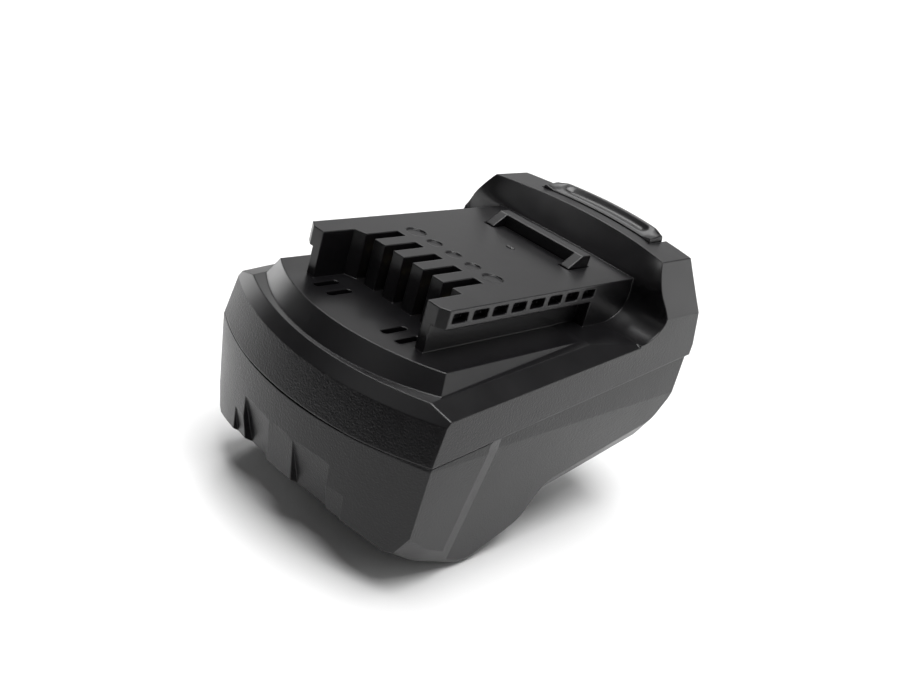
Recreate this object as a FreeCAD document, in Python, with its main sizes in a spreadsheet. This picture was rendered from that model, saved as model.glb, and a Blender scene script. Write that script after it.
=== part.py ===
import FreeCAD, Part
import Sketcher
import math
import os
from FreeCAD import Placement, Rotation, Vector

# Slide-on 18 V battery pack for cordless tools.
# Work axes: X across the pack, Y from the terminal end to the button end, Z up.
# Y starts at the front ends of the rails and Z at the top of the rails and deck.

SIZES = (
    # outer envelope of the housing, taken at four heights
    ("hump_z", 7.4, "top of the rear hump above the deck"),
    ("belt_z", -16.0, "height of the widest rear section"),
    ("waist_z", -32.0, "height of the widest front section"),
    ("keel_z", -74.0, "lowest section, below the floor"),
    ("side_room", 1.65, "room between the foam pads and the side walls"),
    ("hump_inset", 1.45, "each side's inset from the waist at the hump top"),
    ("belt_inset", 0.75, "each side's inset from the waist at the belt"),
    ("keel_inset", 3.45, "each side's inset from the waist at the keel"),
    ("hump_front_y", -2.5, "front corner at the hump height"),
    ("belt_front_y", -5.5, "front corner at the belt"),
    ("waist_front_y", -8.3, "front corner at the waist"),
    ("keel_front_y", -4.45, "front corner at the keel"),
    ("front_bow", 10.3, "how far the front bows out between its corners"),
    ("hump_rear_y", 87.2, "rear corner at the hump top"),
    ("belt_rear_y", 94.4, "rear corner at the belt"),
    ("waist_rear_y", 93.9, "rear corner at the waist"),
    ("keel_rear_y", 83.6, "rear corner at the keel"),
    ("hump_rear_bow", 8.4, "bow of the rear wall at the hump top"),
    ("rear_bow", 5.4, "bow of the rear wall below the belt"),
    # shoulder and plateau
    ("shoulder_z", -19.95, "shoulder edge height above the front corner"),
    ("shoulder_y", -6.2, "where the shoulder edge height is taken"),
    ("shoulder_rise", 0.094, "rise of the shoulder per millimetre rearward"),
    ("band_width", 6.6, "width of the sloped shoulder band at the sides"),
    ("band_drop", 2.3, "fall of the shoulder band towards its edge"),
    ("front_band_width", 3.4, "width of the shoulder band at the front"),
    ("front_band_drop", 1.8, "fall of the shoulder band at the front"),
    ("plateau_z", -12.5, "plateau below the deck, which is the rail height"),
    ("plateau_half_width", 30.7, "half width of the plateau top"),
    ("plateau_corner_y", -1.2, "front corner of the plateau top"),
    ("plateau_bow", 9.2, "bow of the plateau front"),
    ("plateau_rear_y", 68.0, "rear end of the plateau under the hump"),
    ("plateau_spread", 0.40, "side slope of the plateau per millimetre of depth"),
    ("plateau_front_spread", 0.50, "front slope of the plateau wall"),
    ("plateau_depth", 9.0, "depth of the plateau walls into the shoulder"),
    # rail block
    ("rail_inner", 18.8, "inner face of each rail"),
    ("rail_web", 21.5, "outer face of each rail web"),
    ("flange_tip", 25.0, "outer face of each rail flange"),
    ("flange_height", 5.0, "height of the rail flange"),
    ("groove_end_y", 58.0, "rear end of the rail groove"),
    ("block_rear_y", 77.0, "rear end of the rail block inside the hump"),
    ("lead_in", 1.6, "chamfer of the flange front corners"),
    ("lead_in_x", 22.7, "where the flange front chamfer starts"),
    ("fin_front_y", 11.6, "front ends of the terminal fins"),
    ("slot_end_y", 22.5, "rear ends of the terminal slots"),
    ("slot_pitch", 7.0, "spacing of the terminal slots"),
    ("slot_width", 3.1, "width of each terminal slot"),
    ("far_step_y", 10.2, "start of the slanted keying step"),
    ("pocket_start", 2.85, "front end of the first side pocket"),
    ("pocket_pitch", 7.1, "spacing of the side pockets"),
    ("pocket_length", 5.3, "length of each side pocket"),
    ("pocket_top", -1.1, "top of the side pockets"),
    ("pocket_height", 2.5, "height of the side pockets"),
    ("pocket_depth", 2.2, "depth of the side pockets"),
    ("pocket_corner", 0.5, "corner radius of the side pockets"),
    ("pocket_count", 8, "side pockets in each rail"),
    ("dimple_y", 27.9, "centre line of the round dimples"),
    ("dimple_radius", 2.1, "radius of the three middle dimples"),
    ("outer_dimple_radius", 2.75, "radius of the outer dimples"),
    ("dimple_depth", 0.35, "depth of the dimples"),
    ("drain_x", 10.2, "inner drain slot from the middle"),
    ("drain_pitch", 5.1, "spacing of the two drain slots"),
    ("drain_start_y", -2.6, "front end of the drain slots"),
    ("drain_length", 8.0, "length of the drain slots"),
    ("drain_width", 1.9, "width of the drain slots"),
    # concave sweep from the shoulder and deck up to the hump
    ("shelf_z", -12.3, "level shelf where the shoulder meets the hump"),
    ("sweep_foot_y", 66.0, "foot of the sweep on the shelf"),
    ("sweep_low_z", -10.9, "first height up the sweep"),
    ("sweep_low_y", 71.5, "sweep at that height"),
    ("sweep_side_z", -6.8, "second height, at the foot of the end facets"),
    ("sweep_side_y", 75.4, "sweep at that height"),
    ("sweep_deck_y", 75.7, "sweep where it leaves the deck"),
    ("sweep_high_z", 3.5, "height half way up to the hump top"),
    ("sweep_high_y", 78.6, "sweep at that height, in the middle"),
    ("sweep_top_y", 83.1, "front edge of the hump top, in the middle"),
    ("sweep_over_z", 11.0, "height past the hump top where the cut ends"),
    ("sweep_over_y", 88.0, "sweep at that height"),
    ("sweep_margin", 2.25, "how far past the waist the sweep's bows are taken"),
    ("sweep_low_bow", 0.6, "bow of the sweep below the deck"),
    ("sweep_deck_bow", 2.5, "bow of the sweep at the deck"),
    ("sweep_high_bow", 7.0, "bow half way up"),
    ("sweep_top_bow", 13.9, "bow of the hump's front edge"),
    ("sweep_over_bow", 19.0, "bow where the cut ends"),
    # hump
    ("facet_top_inset", 8.75, "where the end facet meets the hump top, in from the waist"),
    ("facet_foot_z", -6.8, "foot of the end facet on the side wall"),
    ("facet_foot_inset", 0.45, "foot of the end facet, in from the waist"),
    # latch hook and button
    ("hook_half_width", 15.4, "half width of the latch hook"),
    ("hook_front_y", 57.0, "front tips of the hook arms"),
    ("hook_rear_y", 65.6, "rear face of the hook"),
    ("hook_bar", 3.8, "thickness of the hook crossbar"),
    ("hook_arm", 2.9, "width of each hook arm"),
    ("hook_height", 3.3, "height of the hook above the deck"),
    ("hook_tip_z", 0.2, "height of the hook arms at their front tips"),
    ("hook_slope", 0.6, "rise of the hook arms per millimetre rearward"),
    ("hook_gap", 0.4, "gap round the hook in the deck"),
    ("latch_travel", 3.8, "travel of the latch when the button is pressed"),
    ("button_half_width", 20.0, "half length of the release button"),
    ("button_front_y", 85.2, "front corners of the release button"),
    ("button_front_bow", 3.0, "how far its front edge curves rearward"),
    ("button_rear_y", 91.6, "rear corners of the button"),
    ("button_rear_bow", 3.6, "bow of the button's rear edge"),
    ("skirt_rear_y", 90.6, "rear corners of the skirt inside the wall"),
    ("button_height", 2.5, "height of the button above the hump"),
    ("button_gap", 0.35, "gap round the button"),
    ("button_chamfer", 1.2, "chamfer round the button top"),
    ("dish_half_width", 15.5, "half length of the finger dish"),
    ("dish_margin", 2.3, "button top ahead of the finger dish"),
    ("dish_width", 3.4, "width of the finger dish"),
    ("dish_end", 1.3, "bow of the ends of the finger dish"),
    ("dish_slope", 0.8, "width of the dish's sloping sides"),
    ("dish_depth", 0.9, "depth of the finger dish"),
    # split line, wall and floor
    ("split_z", -31.1, "split line height at the front corner"),
    ("split_y", -8.1, "where the split line height is taken"),
    ("split_rise", 0.1145, "rise of the split line per millimetre rearward"),
    ("split_gap", 0.15, "gap between the two shells"),
    ("wall", 2.1, "housing wall thickness"),
    ("floor_wall", 1.8, "thickness of the lower shell's floor"),
    ("deck_wall", 2.5, "deck and plateau wall thickness"),
    ("shoulder_wall", 1.6, "thickness left under the edge of the shoulder band"),
    ("shelf_wall", 3.0, "thickness under the shelf"),
    ("hump_wall", 4.6, "thickness behind the hump's front edge"),
    ("hump_space_bow", 4.8, "bow of the space inside the hump at its front"),
    ("hump_space_rear_bow", 4.4, "bow of the space inside the hump at its rear"),
    # underside profile of the lower shell
    ("nose_y", -17.5, "front end of the sloped front floor"),
    ("nose_z", -53.0, "front floor height at its front end"),
    ("chin_y", 2.0, "where the sloped front floor flattens"),
    ("chin_z", -64.7, "height where it flattens"),
    ("belly_y", 22.0, "lowest corner of the deep front part"),
    ("belly_z", -72.2, "height of that corner before it is rounded"),
    ("heel_y", 40.3, "rear corner of the deep front part"),
    ("heel_z", -65.3, "height of that corner"),
    ("step_y", 45.2, "foot of the rise behind the deep part"),
    ("step_z", -56.4, "height at the foot of that rise"),
    ("tail_y", 89.2, "rear end of the shallow floor"),
    ("tail_z", -48.0, "height at the rear end of the floor"),
    ("toe_y", 97.0, "start of the rear wall"),
    ("toe_z", -37.5, "height at the start of the rear wall"),
    ("chin_radius", 20.0, "rounding where the front floor flattens"),
    ("belly_radius", 12.0, "rounding of the belly"),
    ("heel_radius", 7.0, "rounding of the heel"),
    ("step_radius", 7.0, "rounding at the foot of the rise"),
    ("tail_radius", 6.0, "rounding of the tail"),
    ("edge_start_inset", 6.5, "where the long lower edges start to rise, in from the waist"),
    ("edge_turn_inset", 4.55, "where their steeper band starts, in from the waist"),
    ("edge_end_inset", 0.95, "where the steeper band ends, in from the waist"),
    ("edge_low_rise", 1.2, "rise of the lower edges up to the steeper band"),
    ("edge_high_rise", 7.8, "rise of the steeper band"),
    # cells, holders and straps
    ("cell_radius", 9.1, "radius of each cell in its sleeve"),
    ("cell_length", 65.2, "length of each cell"),
    ("cell_pitch", 19.5, "spacing of the cells along the pack"),
    ("first_cell_y", 8.0, "axis of the front cells"),
    ("upper_row_z", -33.0, "axis height of the three upper cells"),
    ("lower_row_z", -52.2, "axis height of the two lower cells"),
    ("cell_gap", 0.12, "clearance round each cell in its holder"),
    ("holder_margin", 0.6, "holder material outside the cells"),
    ("holder_width", 10.0, "how far each holder reaches along the cells"),
    ("holder_corner", 9.2, "outer corner radius of the holders"),
    ("cap_radius", 3.1, "radius of each cell's positive cap"),
    ("cap_height", 0.9, "height of the positive cap"),
    ("crimp_depth", 0.45, "depth of the crimp groove near the cap"),
    ("crimp_width", 1.0, "width of the crimp groove"),
    ("rib_x", 28.0, "locating ribs from the middle"),
    ("rib_thickness", 2.0, "thickness of the locating ribs"),
    ("strap_thickness", 0.25, "thickness of the nickel straps"),
    ("strap_width", 7.0, "width of the nickel straps"),
    ("strap_over", 4.5, "how far the straps reach past the cell axes"),
    ("strap_tab", 6.0, "length of the strap tabs on the circuit board"),
    ("link_gap", 0.05, "gap between cells, straps, sheets and foam"),
    ("weld_slit", 0.8, "width of the weld slits in the straps"),
    ("weld_slit_length", 5.0, "length of the weld slits"),
    ("foam_thickness", 1.6, "thickness of the side foam pads"),
    ("sheet_thickness", 0.3, "thickness of the insulating sheets"),
    ("seat_gap", 0.2, "working gap between pieces that sit on each other"),
    # circuit board and terminals
    ("board_half_width", 27.0, "half width of the circuit board"),
    ("board_front_y", 1.5, "front edge of the circuit board"),
    ("board_rear_y", 49.0, "rear edge of the circuit board"),
    ("board_thickness", 1.6, "thickness of the circuit board"),
    ("contact_front_y", 14.6, "front edge of the terminal contacts"),
    ("contact_length", 6.4, "length of the contacts along the slots"),
    ("contact_width", 1.7, "width of each folded contact"),
    ("contact_metal", 0.4, "sheet thickness of the contacts"),
    ("contact_top_z", -4.6, "upper ends of the contacts"),
    ("contact_gap", 0.15, "clearance round the contacts"),
    ("contact_nip", 0.5, "gap between the pinched contact leaves"),
    ("contact_mouth", 1.2, "depth of the contact mouth above the pinch"),
    ("board_hole_radius", 1.6, "radius of the board's corner holes"),
    ("capacitor_radius", 2.4, "radius of the filter capacitors"),
    ("capacitor_height", 3.8, "height of the filter capacitors"),
    ("capacitor_x", -14.0, "middle of the two filter capacitors"),
    ("capacitor_pitch", 6.0, "spacing of the filter capacitors"),
    ("capacitor_y", 42.5, "filter capacitors along the board"),
    ("parts_y", 32.6, "chip, transistors and shunt along the board"),
    ("chip_x", -5.5, "middle of the protection chip"),
    ("chip_side", 7.0, "side of the protection chip"),
    ("chip_height", 1.4, "height of the protection chip"),
    ("switch_x", 11.8, "middle of the two switching transistors"),
    ("switch_pitch", 9.0, "spacing of the switching transistors"),
    ("switch_width", 6.6, "width of each switching transistor"),
    ("switch_length", 6.2, "length of each switching transistor"),
    ("switch_height", 2.3, "height of each switching transistor"),
    ("shunt_x", -17.0, "middle of the current shunt"),
    ("shunt_width", 6.3, "width of the current shunt"),
    ("shunt_length", 3.2, "length of the current shunt"),
    ("shunt_height", 0.9, "height of the current shunt"),
    ("bead_radius", 1.3, "radius of the thermistor bead"),
    ("bead_length", 6.0, "length of the thermistor bead"),
    ("lead_radius", 0.35, "radius of the thermistor leads"),
    # latch works
    ("carrier_half_width", 16.0, "half width of the latch carrier"),
    ("carrier_front_y", 55.4, "front end of the latch carrier"),
    ("carrier_rear_y", 90.4, "rear end of the latch carrier"),
    ("carrier_thickness", 4.4, "thickness of the latch carrier"),
    ("carrier_gap", 0.3, "gap between carrier and deck at rest"),
    ("lip_height", 3.0, "depth of the button's flush rear lip"),
    ("spring_x", 10.0, "latch springs from the middle"),
    ("spring_y", 76.0, "latch springs along the pack"),
    ("spring_radius", 3.1, "mean radius of the latch springs"),
    ("skirt_bow", 2.0, "bow of the skirt's rear face"),
    ("skirt_half_width", 19.5, "half width of the skirt"),
    ("skirt_front_y", 88.6, "front face of the skirt"),
    ("carrier_rib", 1.8, "wall of the hollow carrier underneath"),
    ("post_cup", 1.2, "depth of the cups that hold the spring feet"),
    ("spring_wire", 0.8, "wire thickness of the latch springs"),
    ("spring_length", 16.2, "length of the latch springs at rest"),
    ("spring_turns", 5.0, "turns of each latch spring"),
    ("post_radius", 4.6, "radius of the spring posts"),
    ("pin_radius", 2.3, "radius of the pins inside the springs"),
    ("pin_height", 4.5, "height of the pins inside the springs"),
    # housing screws
    ("front_screw_x", 25.0, "front screws from the middle"),
    ("front_screw_y", -6.6, "front screws along the pack"),
    ("rear_screw_x", 30.0, "rear screws from the middle"),
    ("rear_screw_y", 83.5, "rear screws along the pack"),
    ("front_head_z", -42.0, "seat of the front screw heads"),
    ("rear_head_z", -30.0, "seat of the rear screw heads"),
    ("screw_length", 14.0, "length of the screws below the head"),
    ("screw_radius", 1.5, "radius of the screw shanks"),
    ("head_radius", 2.6, "radius of the screw heads"),
    ("head_height", 2.2, "height of the screw heads"),
    ("well_radius", 3.0, "radius of the screw wells"),
    ("boss_radius", 4.0, "radius of the lower screw bosses"),
    ("upper_boss_radius", 3.4, "radius of the upper screw bosses"),
    ("screw_gap", 0.08, "clearance round the screw shanks"),
    # side panel and grip flutes
    ("panel_depth", 1.1, "depth of the recessed side panel"),
    ("ridge_top_y", 11.4, "ridge at the split line"),
    ("ridge_foot_y", 8.2, "ridge at the keel"),
    ("ridge_width", 5.0, "width of the sloped ridge flank"),
    ("flute_inner_x", 4.8, "inner edge of the grip flutes"),
    ("flute_outer_x", 16.4, "outer edge of the grip flutes"),
    ("shallow_outer_x", 21.4, "outer edge of the shallow flutes"),
    ("flute_top_z", -42.5, "upper end of the deep flutes"),
    ("shallow_top_z", -48.5, "upper end of the shallow flutes"),
    ("pad_depth", 1.4, "set-back of the middle pad at the floor"),
    ("flute_depth", 4.4, "depth of the deep flutes at the floor"),
    ("shallow_depth", 2.0, "depth of the shallow flutes at the floor"),
    ("grip_wall", 6.0, "extra front wall behind the flutes at the keel"),
)


class Size:
    """A number together with the sheet formula that gives it."""

    def __init__(self, value, text=None):
        self.value = float(value)
        self.text = text if text else "%.6g" % value
        self.bound = text is not None

    def combine(self, other, sign, value):
        other = as_size(other)
        result = value(self.value, other.value)
        if not self.bound and not other.bound:
            return Size(result)
        return Size(result, "(%s %s %s)" % (self.text, sign, other.text))

    def __add__(self, other):
        return self.combine(other, "+", lambda a, b: a + b)

    def __sub__(self, other):
        return self.combine(other, "-", lambda a, b: a - b)

    def __mul__(self, other):
        return self.combine(other, "*", lambda a, b: a * b)

    def __truediv__(self, other):
        return self.combine(other, "/", lambda a, b: a / b)

    def __radd__(self, other):
        return as_size(other) + self

    def __rsub__(self, other):
        return as_size(other) - self

    def __rmul__(self, other):
        return as_size(other) * self

    def __neg__(self):
        return Size(-self.value, "(0 - %s)" % self.text if self.bound else None)


def as_size(value):
    return value if isinstance(value, Size) else Size(value)


def root(size):
    return Size(math.sqrt(size.value), "sqrt(%s)" % size.text if size.bound else None)


class SizeSheet:
    """The spreadsheet of driving sizes, read by name."""

    def __init__(self, document):
        self.sheet = document.addObject("Spreadsheet::Sheet", "Sizes")
        self.sizes = {}
        for row, (name, value, note) in enumerate(SIZES, 1):
            self.sheet.set("A%d" % row, name)
            self.sheet.set("B%d" % row, "%.6g" % value)
            self.sheet.set("C%d" % row, note)
            self.sheet.setAlias("B%d" % row, name)
            self.sizes[name] = Size(value, "Sizes." + name)
        self.document = document
        self.kept = {}
        self.page = None
        self.rows = 0

    def new_page(self, name):
        """Starts a sheet of its own for the values worked out from here on."""
        self.page = self.document.addObject("Spreadsheet::Sheet", name)
        self.rows = 0

    def derive(self, size):
        """Keeps a worked-out value in a cell of its own and returns a short name for it."""
        if not size.bound:
            return size
        if size.text in self.kept:
            return self.kept[size.text]
        self.rows += 1
        name = "value_%d" % self.rows
        self.page.set("A%d" % self.rows, name)
        self.page.set("B%d" % self.rows, "=" + size.text)
        self.page.setAlias("B%d" % self.rows, name)
        self.kept[size.text] = Size(size.value, "%s.%s" % (self.page.Name, name))
        return self.kept[size.text]

    def __getattr__(self, name):
        if name in self.sizes:
            return self.sizes[name]
        raise AttributeError(name)


doc = FreeCAD.newDocument("slide_battery_pack")
S = SizeSheet(doc)
doc.recompute()

# Half widths: the cells, their links, sheets and foam fit between the side walls
S.new_page("Width_values")
stack_half = S.cell_length / 2.0 + S.strap_thickness + S.sheet_thickness + S.foam_thickness + S.link_gap * 3.0
waist_half = S.derive(stack_half + S.side_room + S.wall + S.panel_depth)
HALF_WIDTHS = {
    "hump": S.derive(waist_half - S.hump_inset),
    "belt": S.derive(waist_half - S.belt_inset),
    "waist": waist_half,
    "keel": S.derive(waist_half - S.keel_inset),
}
facet_top_x = S.derive(waist_half - S.facet_top_inset)
facet_foot_x = S.derive(waist_half - S.facet_foot_inset)
doc.recompute()

PLANES = {"XY": "XY_Plane", "XZ": "XZ_Plane", "YZ": "YZ_Plane"}


def bind(item, prop, size):
    """Sets a property and ties it to the sheet."""
    item.setExpression(prop, as_size(size).text)


def new_body(name):
    body = doc.addObject("PartDesign::Body", name)
    return body


def new_sketch(body, name, plane, offset=0.0):
    """A sketch on one of the body's own origin planes, offset along the plane's normal."""
    sketch = body.newObject("Sketcher::SketchObject", name)
    role = PLANES[plane]
    support = [f for f in body.Origin.OriginFeatures if f.Role == role][0]
    sketch.AttachmentSupport = [(support, "")]
    sketch.MapMode = "FlatFace"
    offset = as_size(offset)
    sketch.AttachmentOffset = Placement(Vector(0, 0, offset.value), Rotation())
    if offset.bound:
        sketch.setExpression("AttachmentOffset.Base.z", offset.text)
    return sketch


def fix_point(sketch, index, end, x, y):
    """Holds a point of the sketch at x, y by bound distances from the origin."""
    for kind, axis, size in (("DistanceX", -2, as_size(x)), ("DistanceY", -1, as_size(y))):
        if size.text == "0":
            sketch.addConstraint(Sketcher.Constraint("PointOnObject", index, end, axis))
            continue
        number = sketch.addConstraint(Sketcher.Constraint(kind, -1, 1, index, end, size.value))
        if size.bound:
            sketch.setExpression("Constraints[%d]" % number, size.text)


def bow_radius(dx, dy, rise):
    """Radius of an arc from its chord and its rise."""
    return (dx * dx + dy * dy) / (rise * 8.0) + rise / 2.0


def outline(sketch, corners):
    """A closed outline of lines, with an arc after each corner that carries a rise.

    A positive rise bulges to the right of the direction of travel.
    """
    points = [(as_size(c[0]), as_size(c[1])) for c in corners]
    first = sketch.GeometryCount
    count = len(corners)
    ends = []
    for i in range(count):
        (x1, y1), (x2, y2) = points[i], points[(i + 1) % count]
        start = Vector(x1.value, y1.value, 0)
        end = Vector(x2.value, y2.value, 0)
        if len(corners[i]) < 3:
            sketch.addGeometry(Part.LineSegment(start, end))
            ends.append((1, 2))
            continue
        rise = as_size(corners[i][2])
        along = (end - start).normalize()
        middle = (start + end) * 0.5 + Vector(along.y, -along.x, 0) * rise.value
        outward = rise.value > 0
        sketch.addGeometry(Part.Arc(start, middle, end) if outward else Part.Arc(end, middle, start))
        ends.append((1, 2) if outward else (2, 1))
        radius = bow_radius(x2 - x1, y2 - y1, rise if outward else -rise)
        number = sketch.addConstraint(Sketcher.Constraint("Radius", first + i, radius.value))
        if radius.bound:
            sketch.setExpression("Constraints[%d]" % number, radius.text)
    for i in range(count):
        after = (i + 1) % count
        joint = Sketcher.Constraint("Coincident", first + i, ends[i][1], first + after, ends[after][0])
        sketch.addConstraint(joint)
    for i in range(count):
        fix_point(sketch, first + i, ends[i][0], *points[i])
    return sketch


def circle(sketch, x, y, radius):
    radius = as_size(radius)
    index = sketch.addGeometry(Part.Circle(Vector(as_size(x).value, as_size(y).value, 0), Vector(0, 0, 1), radius.value))
    fix_point(sketch, index, 3, x, y)
    number = sketch.addConstraint(Sketcher.Constraint("Radius", index, radius.value))
    if radius.bound:
        sketch.setExpression("Constraints[%d]" % number, radius.text)
    return sketch


def rounded(points):
    """Corners of a closed outline whose listed corners (x, y, radius) are rounded off.

    The outline runs anticlockwise. A radius of None leaves the corner sharp.
    """
    count = len(points)
    xy = [(as_size(p[0]), as_size(p[1])) for p in points]
    along = []
    for i in range(count):
        dx = xy[(i + 1) % count][0] - xy[i][0]
        dy = xy[(i + 1) % count][1] - xy[i][1]
        length = S.derive(root(dx * dx + dy * dy))
        along.append((S.derive(dx / length), S.derive(dy / length)))
    corners = []
    for i in range(count):
        radius = points[i][2] if len(points[i]) > 2 else None
        if radius is None:
            corners.append(xy[i])
            continue
        (ux, uy), (vx, vy) = along[i - 1], along[i]
        cosine = S.derive(ux * vx + uy * vy)
        reach = S.derive(radius * root((1.0 - cosine) / (1.0 + cosine)))
        rise = S.derive(radius * (1.0 - root((1.0 + cosine) / 2.0)))
        convex = ux.value * vy.value - uy.value * vx.value > 0
        corners.append((xy[i][0] - ux * reach, xy[i][1] - uy * reach, rise if convex else -rise))
        corners.append((xy[i][0] + vx * reach, xy[i][1] + vy * reach))
    return corners


def box_outline(sketch, x1, y1, x2, y2):
    return outline(sketch, [(x1, y1), (x2, y1), (x2, y2), (x1, y2)])


def slot_outline(sketch, x1, y1, x2, y2):
    """A rectangle whose two short ends are bowed nearly to half circles."""
    half = (as_size(x2) - x1) / 2.0
    rise = half * 0.95
    return outline(sketch, [(x1, y1 + half, rise), (x2, y1 + half), (x2, y2 - half, rise), (x1, y2 - half)])


def extrude(body, kind, name, sketch, length, both=False, flip=False):
    """A pad or pocket of the sketch."""
    feature = body.newObject("PartDesign::" + kind, name)
    feature.Profile = sketch
    feature.SideType = "Symmetric" if both else "One side"
    feature.Reversed = flip
    length = as_size(length)
    feature.Length = length.value
    if length.bound:
        feature.setExpression("Length", length.text)
    sketch.Visibility = False
    return feature


def loft(body, kind, name, sketches, ruled=True):
    feature = body.newObject("PartDesign::" + kind, name)
    feature.Profile = sketches[0]
    feature.Sections = sketches[1:]
    feature.Ruled = ruled
    return feature


def envelope_section(body, name, level, inset=0.0, ridge=None, side_inset=0.0, front_inset=0.0):
    """One plan outline of the housing: bowed front, straight sides, bowed rear."""
    bows = {"hump": S.hump_rear_bow}
    half = HALF_WIDTHS[level] - inset - side_inset
    front = getattr(S, level + "_front_y") + inset + front_inset
    rear = getattr(S, level + "_rear_y") - inset
    z = getattr(S, level + "_z")
    sketch = new_sketch(body, name, "XY", z)
    rear_bow = bows.get(level, S.rear_bow)
    if ridge is None:
        corners = [(-half, front, S.front_bow), (half, front), (half, rear, rear_bow), (-half, rear)]
    else:
        deep = half - S.panel_depth
        behind = ridge + S.ridge_width
        corners = [
            (-half, front, S.front_bow), (half, front), (half, ridge), (deep, behind),
            (deep, rear, rear_bow), (-deep, rear), (-deep, behind), (-half, ridge),
        ]
    return outline(sketch, corners)


def shoulder_line(y):
    """Height of the shoulder plane above a given y, before its band is bevelled."""
    return S.shoulder_z + S.band_drop + (y - S.shoulder_y) * S.shoulder_rise


def split_line(y):
    return S.split_z + (y - S.split_y) * S.split_rise


def mirror_plane(body):
    return ([f for f in body.Origin.OriginFeatures if f.Role == "YZ_Plane"][0], [""])


def tip(body):
    body.Tip = body.Group[-1]
    return body


# Upper housing
S.new_page("Upper_values")
upper = new_body("upper_shell")
sections = [envelope_section(upper, "upper_%s_section" % level, level) for level in ("hump", "belt", "waist")]
loft(upper, "AdditiveLoft", "upper_walls", sections)

# The space above the shoulder, ahead of the hump
FAR = 60.0
level_y = (S.shelf_z - S.shoulder_z - S.band_drop) / S.shoulder_rise + S.shoulder_y
cut = new_sketch(upper, "shoulder_profile", "YZ")
outline(cut, [
    (-FAR, shoulder_line(as_size(-FAR))), (level_y, S.shelf_z), (S.sweep_foot_y, S.shelf_z),
    (S.sweep_foot_y, FAR), (-FAR, FAR),
])
extrude(upper, "Pocket", "shoulder_cut", cut, 2 * FAR, both=True)

# The shoulder band slopes off at both sides and along the bowed front
band_inner = waist_half - S.band_width
band_z = shoulder_line(as_size(0.0))
for side, sign in (("right", 1.0), ("left", -1.0)):
    cut = new_sketch(upper, side + "_band_profile", "XZ")
    slope = S.band_drop / S.band_width
    corners = [
        (band_inner * sign, band_z), (FAR * sign, band_z - (FAR - band_inner) * slope), (FAR * sign, band_z),
    ]
    outline(cut, corners)
    band = extrude(upper, "Pocket", side + "_band", cut, FAR)
    band.UseCustomVector = True
    band.Direction = Vector(0, -1, -S.shoulder_rise.value)
    bind(band, "Direction.z", -S.shoulder_rise)
    band.AlongSketchNormal = True
    band.SideType = "Two sides"
    bind(band, "Length2", S.sweep_foot_y)
    tip(upper)
doc.recompute()


def edges_near(shape, test):
    """Names of the edges whose midpoint and length pass the test."""
    names = []
    for number, edge in enumerate(shape.Edges, 1):
        middle = edge.valueAt((edge.FirstParameter + edge.LastParameter) / 2.0)
        if test(middle, edge):
            names.append("Edge%d" % number)
    return names


top_front_z = shoulder_line(S.waist_front_y).value
long_edge = waist_half.value
front_edges = edges_near(upper.Shape, lambda m, e: m.y < -10 and abs(m.z - top_front_z) < 1.5 and e.Length > long_edge)
last_feature = upper.Tip
front_band = upper.newObject("PartDesign::Chamfer", "front_band")
front_band.Base = (last_feature, front_edges)
front_band.ChamferType = "Two distances"
bind(front_band, "Size", S.front_band_width)
bind(front_band, "Size2", S.front_band_drop)
tip(upper)
doc.recompute()

# The concave sweep up to the hump
sweep_levels = (
    (S.shelf_z, S.sweep_foot_y, S.sweep_low_bow),
    (S.sweep_low_z, S.sweep_low_y, S.sweep_low_bow),
    (S.sweep_side_z, S.sweep_side_y, S.sweep_low_bow),
    (as_size(0.0), S.sweep_deck_y, S.sweep_deck_bow),
    (S.sweep_high_z, S.sweep_high_y, S.sweep_high_bow),
    (S.hump_z, S.sweep_top_y, S.sweep_top_bow),
    (S.sweep_over_z, S.sweep_over_y, S.sweep_over_bow),
)
sweep_sketches = []
for number, (z, y, bow) in enumerate(sweep_levels):
    sketch = new_sketch(upper, "sweep_section_%d" % number, "XY", z)
    half = waist_half + S.sweep_margin
    outline(sketch, [(-half, -FAR), (half, -FAR), (half, y - bow, bow), (-half, y - bow)])
    sweep_sketches.append(sketch)
loft(upper, "SubtractiveLoft", "sweep_cut", sweep_sketches, ruled=False)
tip(upper)
doc.recompute()

# End facets of the hump
cut = new_sketch(upper, "facet_profile", "XZ")
fall = (S.hump_z - S.facet_foot_z) / (facet_foot_x - facet_top_x)
for sign in (1.0, -1.0):
    outline(cut, [
        (facet_top_x * sign - sign * 1.0, S.hump_z + fall * 1.0),
        ((facet_foot_x + 2.0) * sign, S.facet_foot_z - fall * 2.0),
        (FAR * sign, S.facet_foot_z - fall * 2.0),
        (FAR * sign, S.hump_z + fall * 1.0),
    ])
facets = extrude(upper, "Pocket", "facet_cut", cut, 4 * FAR, both=True)
tip(upper)
doc.recompute()

# Plateau
plateau_sketches = []
for name, z, spread, front in (
    ("plateau_top", S.plateau_z, as_size(0.0), as_size(0.0)),
    ("plateau_foot", S.plateau_z - S.plateau_depth, S.plateau_spread * S.plateau_depth,
     S.plateau_front_spread * S.plateau_depth),
):
    sketch = new_sketch(upper, name, "XY", z)
    half = S.plateau_half_width + spread
    corner = S.plateau_corner_y - spread
    outline(sketch, [
        (-half, corner, S.plateau_bow + front - spread), (half, corner),
        (half, S.plateau_rear_y), (-half, S.plateau_rear_y),
    ])
    plateau_sketches.append(sketch)
loft(upper, "AdditiveLoft", "plateau", plateau_sketches)
tip(upper)

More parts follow.
